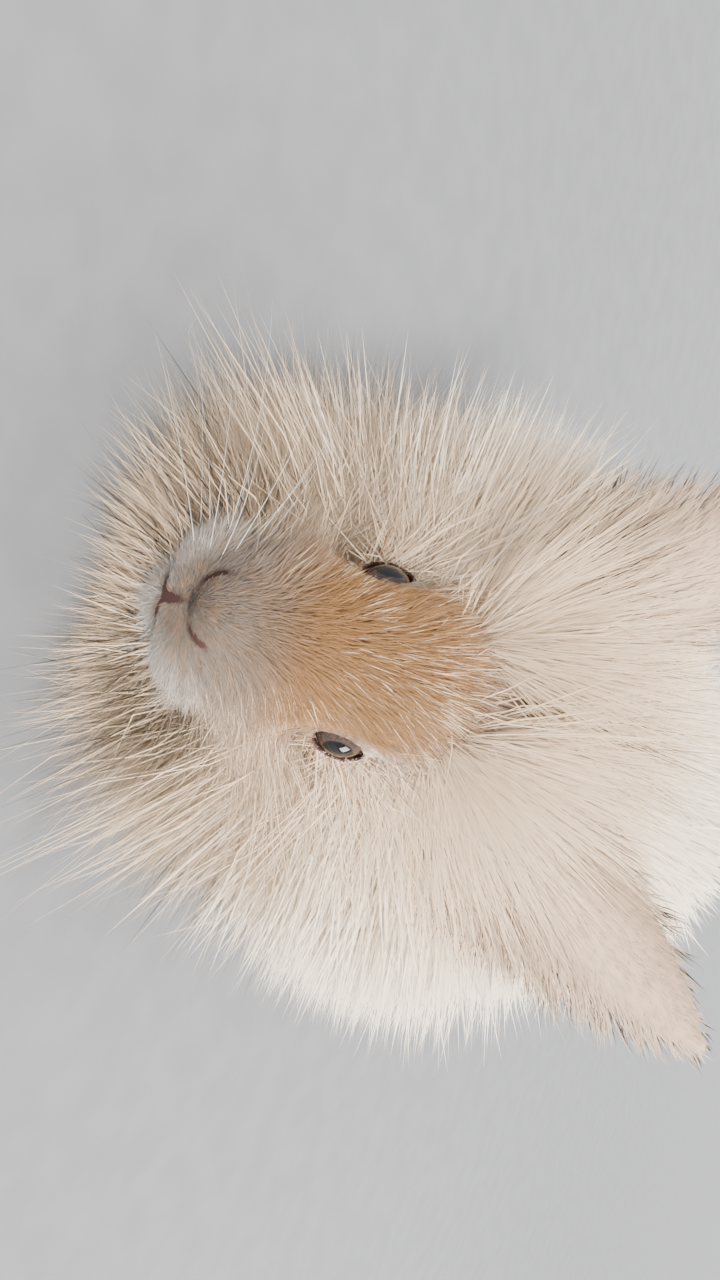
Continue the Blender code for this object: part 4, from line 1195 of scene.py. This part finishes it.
def coat(name, roots, normals, parts, comb_values, style, material, rng, facing=None):
    """A piece of coat: strands at the roots, lying as their comb values say."""
    comb_values = comb_values.copy()
    comb_values[:, 5] *= bpy.context.scene.angora_coat.length_share
    paths, chances = strand_paths(roots, normals, comb_values, style, rng)
    paths = kept_in_box(clear_of_eyes(paths), rng)
    widths = comb_values[:, 6] * rng.uniform(0.60, 1.18, len(roots))
    facing = normals if facing is None else facing
    strand_objects(name, roots, facing, parts, paths, chances, widths, style, material, rng)


def head_facing(roots, normals):
    """The way the head's wool faces: out from the head, and to the front more than the skin does."""
    places_mm = in_head_mm(roots)
    out = unit(places_mm - HEAD_FOCUS) @ np.array(HEAD.to_3x3()).T
    front = np.clip((34 - places_mm[:, 1:2]) / 14, 0, 1)
    return unit(out * front + normals * (1.6 - 1.2 * front))


def head_comb_at(roots, rng):
    """Comb values of the head, parted round the eyes, with the flow turned to the scene's axes."""
    places_mm = in_head_mm(roots)
    off = COMB_SHIFT * np.clip(from_lines(places_mm) / 12 - 0.5, 0, 1)[:, None]
    values = combed(places_mm + rng.normal(0, 1, places_mm.shape) * off, HEAD_COMB)
    values[:, :3] = unit(values[:, :3])
    for side in (1, -1):
        away, depth, spot = on_opening(places_mm, side)
        facing = eye_axes(side)[0]
        near = np.where(away < 16, np.clip(2.3 - spot, 0, 1) * (depth > 0), 0)[:, None]
        outwards = unit(places_mm - (EYE_SIDE * side, 0, 0) - facing * depth[:, None])
        values[:, :3] = unit(values[:, :3] + outwards * near * 1.6)
        values[:, 3:5] *= 1 - 0.45 * near
        values[:, 5:6] *= 1 - 0.35 * near
    values[:, 5] *= np.clip(from_lines(places_mm) / 4.5, 0.35, 1)
    values[:, :3] = values[:, :3] @ np.array(HEAD.to_3x3()).T
    return values


def eye_room(points_mm):
    """True where no strand may grow, on the lids' rims and in the openings."""
    found = np.zeros(len(points_mm), bool)
    for side in (1, -1):
        _, depth, spot = on_opening(points_mm, side)
        found |= (spot < 1.06) & (depth > 3)
    return found


def draws_of(step):
    """The random draws of one step, which stay the same if another step changes."""
    return np.random.default_rng([bpy.context.scene.angora_coat.seed, step])


def on_parts(*numbers):
    """A weight of roots that is alike over those parts of the skin, and nothing elsewhere."""
    return lambda _, parts: np.isin(parts, numbers).astype(float)


def alike(count, *columns):
    """Columns of an array, plain numbers among them repeated down it."""
    return np.column_stack([np.full(count, column) if np.isscalar(column) else column for column in columns])


def skin_mesh():
    return bpy.data.objects["skin"].data


def wool(name, tip_amount, **more):
    """The material of that name, made once."""
    found = bpy.data.materials.get(name)
    return found or wool_material(name, bpy.context.scene.angora_coat, tip_amount, **more)


class ANGORA_OT_skin(bpy.types.Operator):
    """Build the skin: head with lids, nostrils and mouth, ears, trunk, limbs and tail in one closed mesh"""

    bl_idname = "angora.skin"
    bl_label = "Build Skin"

    def execute(self, context):
        head = head_skin()
        body_forms = [*trunk_forms(), *limb_forms(FORELEG), *limb_forms(HINDLEG), *thigh_forms(), ball(*TAIL, BODY)]
        body = remeshed(new_object("body_skin", body_forms), BODY_GRID, 4)
        for vertex in body.data.vertices:
            vertex.co.z = max(vertex.co.z, SKIN_OVER_FLOOR)
        ears = [new_object("ear_skin", [ear_form(side)]) for side in (1, -1)]
        head_mesh = mesh_arrays(head.data)[:2]
        skin = combined(head, [body, *ears], "UNION")
        skin.name = skin.data.name = "skin"
        mesh = skin.data
        mesh.shade_smooth()
        hind = [*limb_forms(HINDLEG), *thigh_forms()]
        groups = ([ear_form(1)], [ear_form(-1)], trunk_forms(), limb_forms(FORELEG), hind, [ball(*TAIL, BODY)])
        forms = [(head_mesh[0], head_mesh[1].tolist()), *(joined(group) for group in groups)]
        parts = nearest_parts(read(mesh.polygons, "center", 3), forms)
        set_attribute(mesh, "part", "INT", "FACE", parts)
        points = read(mesh.vertices, "co", 3)
        places_mm = in_head_mm(points)
        set_attribute(mesh, "place_mm", "FLOAT_VECTOR", "POINT", places_mm)
        set_attribute(mesh, "bare", "FLOAT", "POINT", bareness(places_mm))
        corners = read(mesh.loops, "vertex_index")
        maps = unwrapped(points[corners], np.repeat(parts, read(mesh.polygons, "loop_total")))
        mesh.uv_layers.new(name=BAKE_MAP).data.foreach_set("uv", maps.ravel())
        mesh.materials.clear()
        mesh.materials.append(skin_material(context.scene.angora_coat))
        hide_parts(*FLESH_NODES)
        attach(skin, RIDES_ON)
        return {"FINISHED"}


class ANGORA_OT_face_fur(bpy.types.Operator):
    """Cover the face with short fur that lengthens towards the cheeks and forehead"""

    bl_idname = "angora.face_fur"
    bl_label = "Grow Face Fur"

    def execute(self, context):
        rng = draws_of(1)

        def weight(places, parts):
            places_mm = in_head_mm(places)
            length = combed(places_mm, HEAD_COMB)[:, 5]
            bare = (from_lines(places_mm) < BARE_OF_FUR) | eye_room(places_mm)
            return np.where((parts == HEAD_PART) & ~bare, 1 / (length + 4.0), 0) * (length < 40)

        roots, normals, parts = random_roots(skin_mesh(), context.scene.angora_coat.face_strands, weight, rng)
        style = Style(spread=0.24, lift_spread=9, clump=0.45, clumps=0.10, wave=0.03, droop=0.03)
        facing = head_facing(roots, normals * 3)
        material = wool("face_fur", 0.15, variety=0.45, see_through=0.06)
        coat("face_fur", roots, normals, parts, head_comb_at(roots, rng), style, material, rng, facing)
        return {"FINISHED"}


class ANGORA_OT_head_wool(bpy.types.Operator):
    """Grow the long wool of the cheeks, forehead, crown and throat"""

    bl_idname = "angora.head_wool"
    bl_label = "Grow Head Wool"

    def execute(self, context):
        rng = draws_of(2)

        def weight(places, parts):
            places_mm = in_head_mm(places)
            length = combed(places_mm, HEAD_COMB)[:, 5]
            open_skin = (parts == HEAD_PART) & ~eye_room(places_mm) & (places_mm[:, 1] < 36)
            low = np.clip((10 - places_mm[:, 1]) / 30, 0, 1) * np.clip((-8 - places_mm[:, 2]) / 15, 0, 1)
            parting = np.linalg.norm(np.abs(places_mm) - (10, 13, 25), axis=1) < 8
            return np.where(open_skin, np.clip((length - 12) / 24, 0, 1) * (1 + 1.5 * low + 2 * parting), 0)

        roots, normals, parts = random_roots(skin_mesh(), context.scene.angora_coat.head_strands, weight, rng)
        values, facing = head_comb_at(roots, rng), head_facing(roots, normals)
        material = wool("head_wool", 0.62, variety=0.10, fade=(0.04, 0.30), see_through=0.13)
        fine = Style(spread=0.20, lift_spread=10, shortest=0.55, clump=0.40, clumps=0.06, stray=0.16)
        wisps = Style(LONG_RINGS, spread=0.30, lift_spread=14, shortest=0.8, clump=0.2, stray=0.3, wave=0.04)
        split = len(roots) * 15 // 16
        for name, style, pick in (("head_wool", fine, slice(0, split)), ("head_wisps", wisps, slice(split, None))):
            coat(name, roots[pick], normals[pick], parts[pick], values[pick], style, material, rng,
                 facing[pick])
        return {"FINISHED"}


class ANGORA_OT_body_wool(bpy.types.Operator):
    """Grow the wool of the ruff and the trunk, down to the floor"""

    bl_idname = "angora.body_wool"
    bl_label = "Grow Body Wool"

    def execute(self, context):
        rng = draws_of(3)

        def weight(places, parts):
            places_mm = in_body_mm(places)
            ruff = np.clip((-20 - places_mm[:, 1]) / 60, 0, 1)
            under = np.clip((places_mm[:, 2] - 8) / 24, 0.08, 1)
            return np.where(parts == TRUNK_PART, (1 + 1.2 * ruff) * under, 0)

        roots, normals, parts = random_roots(skin_mesh(), context.scene.angora_coat.body_strands, weight, rng)
        style = Style(spread=0.20, lift_spread=9, shortest=0.55, clump=0.55, clumps=0.06)
        values = combed(in_body_mm(roots), BODY_COMB)
        material = wool("body_wool", 0.22)
        coat("body_wool", roots, normals, parts, values, style, material, rng)
        return {"FINISHED"}


class ANGORA_OT_ear_fur(bpy.types.Operator):
    """Grow the short fur of the ears and the long fringe on their edges"""

    bl_idname = "angora.ear_fur"
    bl_label = "Grow Ear Fur"

    def execute(self, context):
        rng = draws_of(4)
        each = context.scene.angora_coat.ear_strands // 2
        for side, part, name in ((1, EAR_LEFT_PART, "ear_fur_left"), (-1, EAR_RIGHT_PART, "ear_fur_right")):
            base, tip, wide, _ = ear_axes(side)
            axis = unit(tip - base)

            def on_ear(places):
                offset = in_head_mm(places) - base
                share = np.clip(offset @ axis / np.linalg.norm(tip - base), 0, 1)
                half_width, _ = ear_section(share)
                return share, np.clip(offset @ wide / half_width, -1, 1)

            outer = 1.0 if wide[0] * side > 0 else -1.0

            def weight(places, parts):
                _, across = on_ear(places)
                return np.where(parts == part, 1 + 2.5 * np.clip(across * outer - 0.6, 0, 1), 0)

            roots, normals, parts = random_roots(skin_mesh(), each, weight, rng)
            share, across = on_ear(roots)
            across *= outer
            outer_edge = np.clip((across - 0.45) / 0.5, 0, 1)
            inner_edge = np.clip((-across - 0.65) / 0.35, 0, 1)
            outer_fringe = outer_edge * 26 * np.clip(1.15 - share, 0, 1)
            inner_fringe = inner_edge * 20 * np.clip(1.1 - share, 0, 1)
            length = 4.0 + outer_fringe + inner_fringe
            outwards = outer_edge * (1.3 - 0.9 * share) - inner_edge * 0.6
            way = wide * outer * outwards[:, None] + axis * (0.55 + share)[:, None]
            way = way @ np.array(HEAD.to_3x3()).T
            lift = 22 + 10 * outer_edge
            values = np.column_stack([way, lift, lift * 0.6, length, 0.28 + length * 0.006])
            style = Style(spread=0.14, lift_spread=6, clump=0.4, droop=0.12)
            material = wool("ear_fur", 0.15, see_through=0.08)
            coat(name, roots, normals, parts, values, style, material, rng)
        return {"FINISHED"}


class ANGORA_OT_limb_fur(bpy.types.Operator):
    """Grow the short dense fur of the legs and feet, and the wool of the tail"""

    bl_idname = "angora.limb_fur"
    bl_label = "Grow Limb and Tail Fur"

    def execute(self, context):
        rng = draws_of(5)
        settings = context.scene.angora_coat

        on_limbs = on_parts(FORELEG_PART, HINDLEG_PART)
        roots, normals, parts = random_roots(skin_mesh(), settings.limb_strands, on_limbs, rng)
        body = in_body_mm(roots)
        forward = np.clip((-95 - body[:, 1]) / 20, 0, 1) + np.clip((5 - body[:, 1]) / 20, 0, 1) * (body[:, 1] > -50)
        length = 11 - 5 * np.clip(forward, 0, 1)
        values = alike(len(roots), normals[:, 0] * 0.3, -1.0, -0.35, 26.0, 10.0, length, length * 0.06)
        style = Style(spread=0.2)
        coat("leg_fur", roots, normals, parts, values, style, wool("leg_fur", 0.10), rng)

        roots, normals, parts = random_roots(skin_mesh(), settings.tail_strands, on_parts(TAIL_PART), rng)
        lengths = rng.uniform(30, 40, len(roots))
        values = alike(len(roots), normals[:, 0] * 0.6, 0.3, 1.0, 54.0, 24.0, lengths, lengths * 0.02)
        coat("tail_wool", roots, normals, parts, values, Style(), wool("body_wool", 0.22), rng)
        return {"FINISHED"}


class ANGORA_OT_eyes(bpy.types.Operator):
    """Build both eyes, each a ball with a raised cornea, an iris and a pupil"""

    bl_idname = "angora.eyes"
    bl_label = "Build Eyes"

    def execute(self, context):
        material = eye_material(context.scene.angora_eyes)
        for side, name in ((1, "eye_left"), (-1, "eye_right")):
            shape = bmesh.new()
            bmesh.ops.create_uvsphere(shape, u_segments=64, v_segments=48, radius=1)
            mesh = bpy.data.meshes.new(name + "_ball")
            shape.to_mesh(mesh)
            shape.free()
            points = read(mesh.vertices, "co", 3)
            set_attribute(mesh, "eye_place", "FLOAT_VECTOR", "POINT", points)
            bulge = 1 + 0.045 * np.clip((points[:, 2] - 0.62) / 0.38, 0, 1)[:, None] ** 2
            aside, ahead = math.cos(PUPIL_FORWARD) * side, -math.sin(PUPIL_FORWARD)
            gaze = Vector((aside, ahead, math.sin(OPENING_UP))).normalized()
            turn = np.array(gaze.to_track_quat("Z", "Y").to_matrix())
            placed = (points * bulge * BALL_RADIUS) @ turn.T + (EYE_SIDE * side, 0, 0)
            mesh.vertices.foreach_set("co", moved(placed, HEAD_MM).ravel())
            mesh.shade_smooth()
            mesh.update()
            mesh.materials.append(material)
            obj = linked(mesh.name, mesh)
            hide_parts(name)
            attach(obj, RIDES_ON)
        return {"FINISHED"}


class ANGORA_OT_whiskers(bpy.types.Operator):
    """Build the whiskers, white on the rabbit's right and thin and dark on its left"""

    bl_idname = "angora.whiskers"
    bl_label = "Build Whiskers"

    def execute(self, context):
        rng = draws_of(6)
        settings = context.scene.angora_eyes
        sides = (
            (1, "whiskers_left", plain_material("whisker_dark", (0.16, 0.11, 0.08), 0.45), 0.06),
            (-1, "whiskers_right", plain_material("whisker_white", (0.80, 0.76, 0.70), 0.40), 0.07),
        )
        for side, name, material, thickness in sides:
            parts = []
            for number in range(settings.whiskers + BROW_WHISKERS):
                on_brow = number >= settings.whiskers
                row, column = number % 4, number // 4
                if on_brow:
                    root = np.array([(17.5 + 0.8 * row) * side, 1.0 + 2.2 * row, 15.5])
                    way = unit(np.array([0.9 * side, 0.1 + 0.3 * row, 1.0]) + rng.normal(0, 0.10, 3))
                else:
                    root = np.array([(9.0 + 1.6 * column) * side, -44.5 + 3.2 * column, -19.5 - 2.8 * row])
                    way = unit(np.array([side, -0.30 + 0.30 * column, 0.34 - 0.24 * row]) + rng.normal(0, 0.10, 3))
                length = settings.whisker_length / MM * rng.uniform(0.55, 1.0)
                steps = np.linspace(0, 1, 12)[:, None]
                sag = np.array([0.10 * side, 0.15, -0.45 * rng.uniform(0.5, 1)]) * length
                line = root + way * length * steps + sag * steps**2
                places = head_points(line)
                places[:, 2] = np.maximum(places[:, 2], 0.002 + 0.004 * rng.uniform())
                line = in_head_mm(places)
                radius = thickness * (1 - 0.85 * steps[:, 0])
                table = [(tuple(point), size) for point, size in zip(line, radius)]
                parts.append(limb(table, 24, 5, HEAD_MM, 1, blunt=0.05))
            obj = new_object(name, parts)
            obj.data.shade_smooth()
            obj.data.materials.append(material)
            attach(obj, RIDES_ON)
        return {"FINISHED"}


class ANGORA_OT_claws(bpy.types.Operator):
    """Build the claws at the ends of the toes"""

    bl_idname = "angora.claws"
    bl_label = "Build Claws"

    def execute(self, context):
        parts = []
        for line in (FORELEG, HINDLEG):
            for side in (1, -1):
                for (x, y, z), half in toes(line, side):
                    front = y - half[1] * 0.7
                    curve = (
                        ((x, front, z + 0.0010), 0.0014),
                        ((x, front - CLAW_LENGTH * 0.5, z + 0.0012), 0.0012),
                        ((x, front - CLAW_LENGTH, max(z - 0.0020, 0.0008)), 0.0005),
                    )
                    parts.append(limb(curve, 12, 10, BODY, 1, blunt=0.15))
        claws = new_object("claws", parts)
        claws.data.shade_smooth()
        claws.data.materials.append(plain_material("claw_horn", (0.52, 0.40, 0.32), 0.35))
        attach(claws, RIDES_ON)
        return {"FINISHED"}


def lamp(name, kind, toward, energy, **settings):
    """A light that shines from a direction, with its other settings."""
    light = bpy.data.lights.new(name, kind)
    light.energy = energy
    for key, value in settings.items():
        setattr(light, key, value)
    obj = linked(name, light)
    obj.rotation_euler = (-Vector(toward)).to_track_quat("-Z", "Y").to_euler()
    return obj


def soft_sun(name, toward, spread, strength):
    """A light as soft as the part of the sky that it covers, in degrees, and alike over the whole floor."""
    return lamp(name, "SUN", toward, strength, angle=math.radians(spread))


class ANGORA_OT_studio(bpy.types.Operator):
    """Set up the floor, the lights and the camera"""

    bl_idname = "angora.studio"
    bl_label = "Set Up Studio"

    def execute(self, context):
        settings = context.scene.angora_studio
        corners = np.array([(-1, -1, 0), (1, -1, 0), (1, 1, 0), (-1, 1, 0)], float) * FLOOR_REACH
        floor = new_object("floor", [(corners, [(0, 1, 2, 3)])])
        floor.data.materials.append(plain_material("studio_floor", tuple(settings.floor_colour), 0.9))
        world = bpy.data.worlds.new("studio")
        world.use_nodes = True
        background = world.node_tree.nodes["Background"]
        background.inputs["Color"].default_value = SKY_COLOUR
        background.inputs["Strength"].default_value = settings.sky_strength
        context.scene.world = world
        soft_sun("key", (0.60, -0.75, 0.90), 22, settings.key_strength)
        soft_sun("fill", (-0.35, -1.00, 0.25), 60, settings.fill_strength)
        soft_sun("back", (0.10, 0.95, 0.85), 50, settings.back_strength)

        window = lamp("window", "AREA", WINDOW, settings.window_power, size=WINDOW_SIZE)
        window.location = MID_EYES + WINDOW

        toward = Vector((
            math.sin(CAMERA_AZIMUTH) * math.cos(CAMERA_ELEVATION),
            -math.cos(CAMERA_AZIMUTH) * math.cos(CAMERA_ELEVATION),
            math.sin(CAMERA_ELEVATION),
        ))
        forward = -toward
        right = forward.cross(Vector((0, 0, 1))).normalized()
        up = right.cross(forward)
        picture_right = math.cos(CAMERA_ROLL) * right + math.sin(CAMERA_ROLL) * up
        picture_up = math.cos(CAMERA_ROLL) * up - math.sin(CAMERA_ROLL) * right
        forward = forward - CAMERA_OFF_CENTRE[0] * picture_right - CAMERA_OFF_CENTRE[1] * picture_up
        forward.normalize()

        # The photo stands on its side: what is up on the rabbit points to the picture's right
        frame_up = -picture_right
        frame_right = forward.cross(frame_up).normalized()
        frame_up = frame_right.cross(forward)
        camera = bpy.data.cameras.new("camera")
        camera.sensor_fit = "VERTICAL"
        camera.sensor_height = SENSOR
        camera.lens = LENS
        camera.clip_start = 0.01
        obj = linked("camera", camera)
        rotation = Matrix((frame_right, frame_up, -forward)).transposed().to_4x4()
        obj.matrix_world = Matrix.Translation(MID_EYES + toward * CAMERA_DISTANCE) @ rotation
        context.scene.camera = obj
        return {"FINISHED"}


class ANGORA_PT_rabbit(bpy.types.Panel):
    """The steps and values of the rabbit"""

    bl_label = "English Angora"
    bl_idname = "ANGORA_PT_rabbit"
    bl_space_type = "VIEW_3D"
    bl_region_type = "UI"
    bl_category = "Angora"

    def draw(self, context):
        column = self.layout.column()
        for step in STEPS:
            column.operator(step.bl_idname)
        for group in (context.scene.angora_coat, context.scene.angora_eyes, context.scene.angora_studio):
            for name in group.bl_rna.properties.keys():
                if name not in {"rna_type", "name"}:
                    column.prop(group, name)


GROUPS = (("angora_studio", StudioSettings), ("angora_coat", CoatSettings), ("angora_eyes", EyeSettings))
STEPS = (
    ANGORA_OT_studio, ANGORA_OT_skin, ANGORA_OT_face_fur, ANGORA_OT_head_wool, ANGORA_OT_body_wool,
    ANGORA_OT_ear_fur, ANGORA_OT_limb_fur, ANGORA_OT_eyes, ANGORA_OT_whiskers, ANGORA_OT_claws,
)


def register():
    for name, group in GROUPS:
        bpy.utils.register_class(group)
        setattr(bpy.types.Scene, name, bpy.props.PointerProperty(type=group))
    for step in (*STEPS, ANGORA_PT_rabbit):
        bpy.utils.register_class(step)


def unregister():
    for step in (*STEPS, ANGORA_PT_rabbit):
        bpy.utils.unregister_class(step)
    for name, group in GROUPS:
        delattr(bpy.types.Scene, name)
        bpy.utils.unregister_class(group)


def main():
    register()
    bpy.ops.angora.studio()
    bpy.ops.angora.skin()
    bpy.ops.angora.face_fur()
    bpy.ops.angora.head_wool()
    bpy.ops.angora.body_wool()
    bpy.ops.angora.ear_fur()
    bpy.ops.angora.limb_fur()
    bpy.ops.angora.eyes()
    bpy.ops.angora.whiskers()
    bpy.ops.angora.claws()


if __name__ == "__main__":
    main()
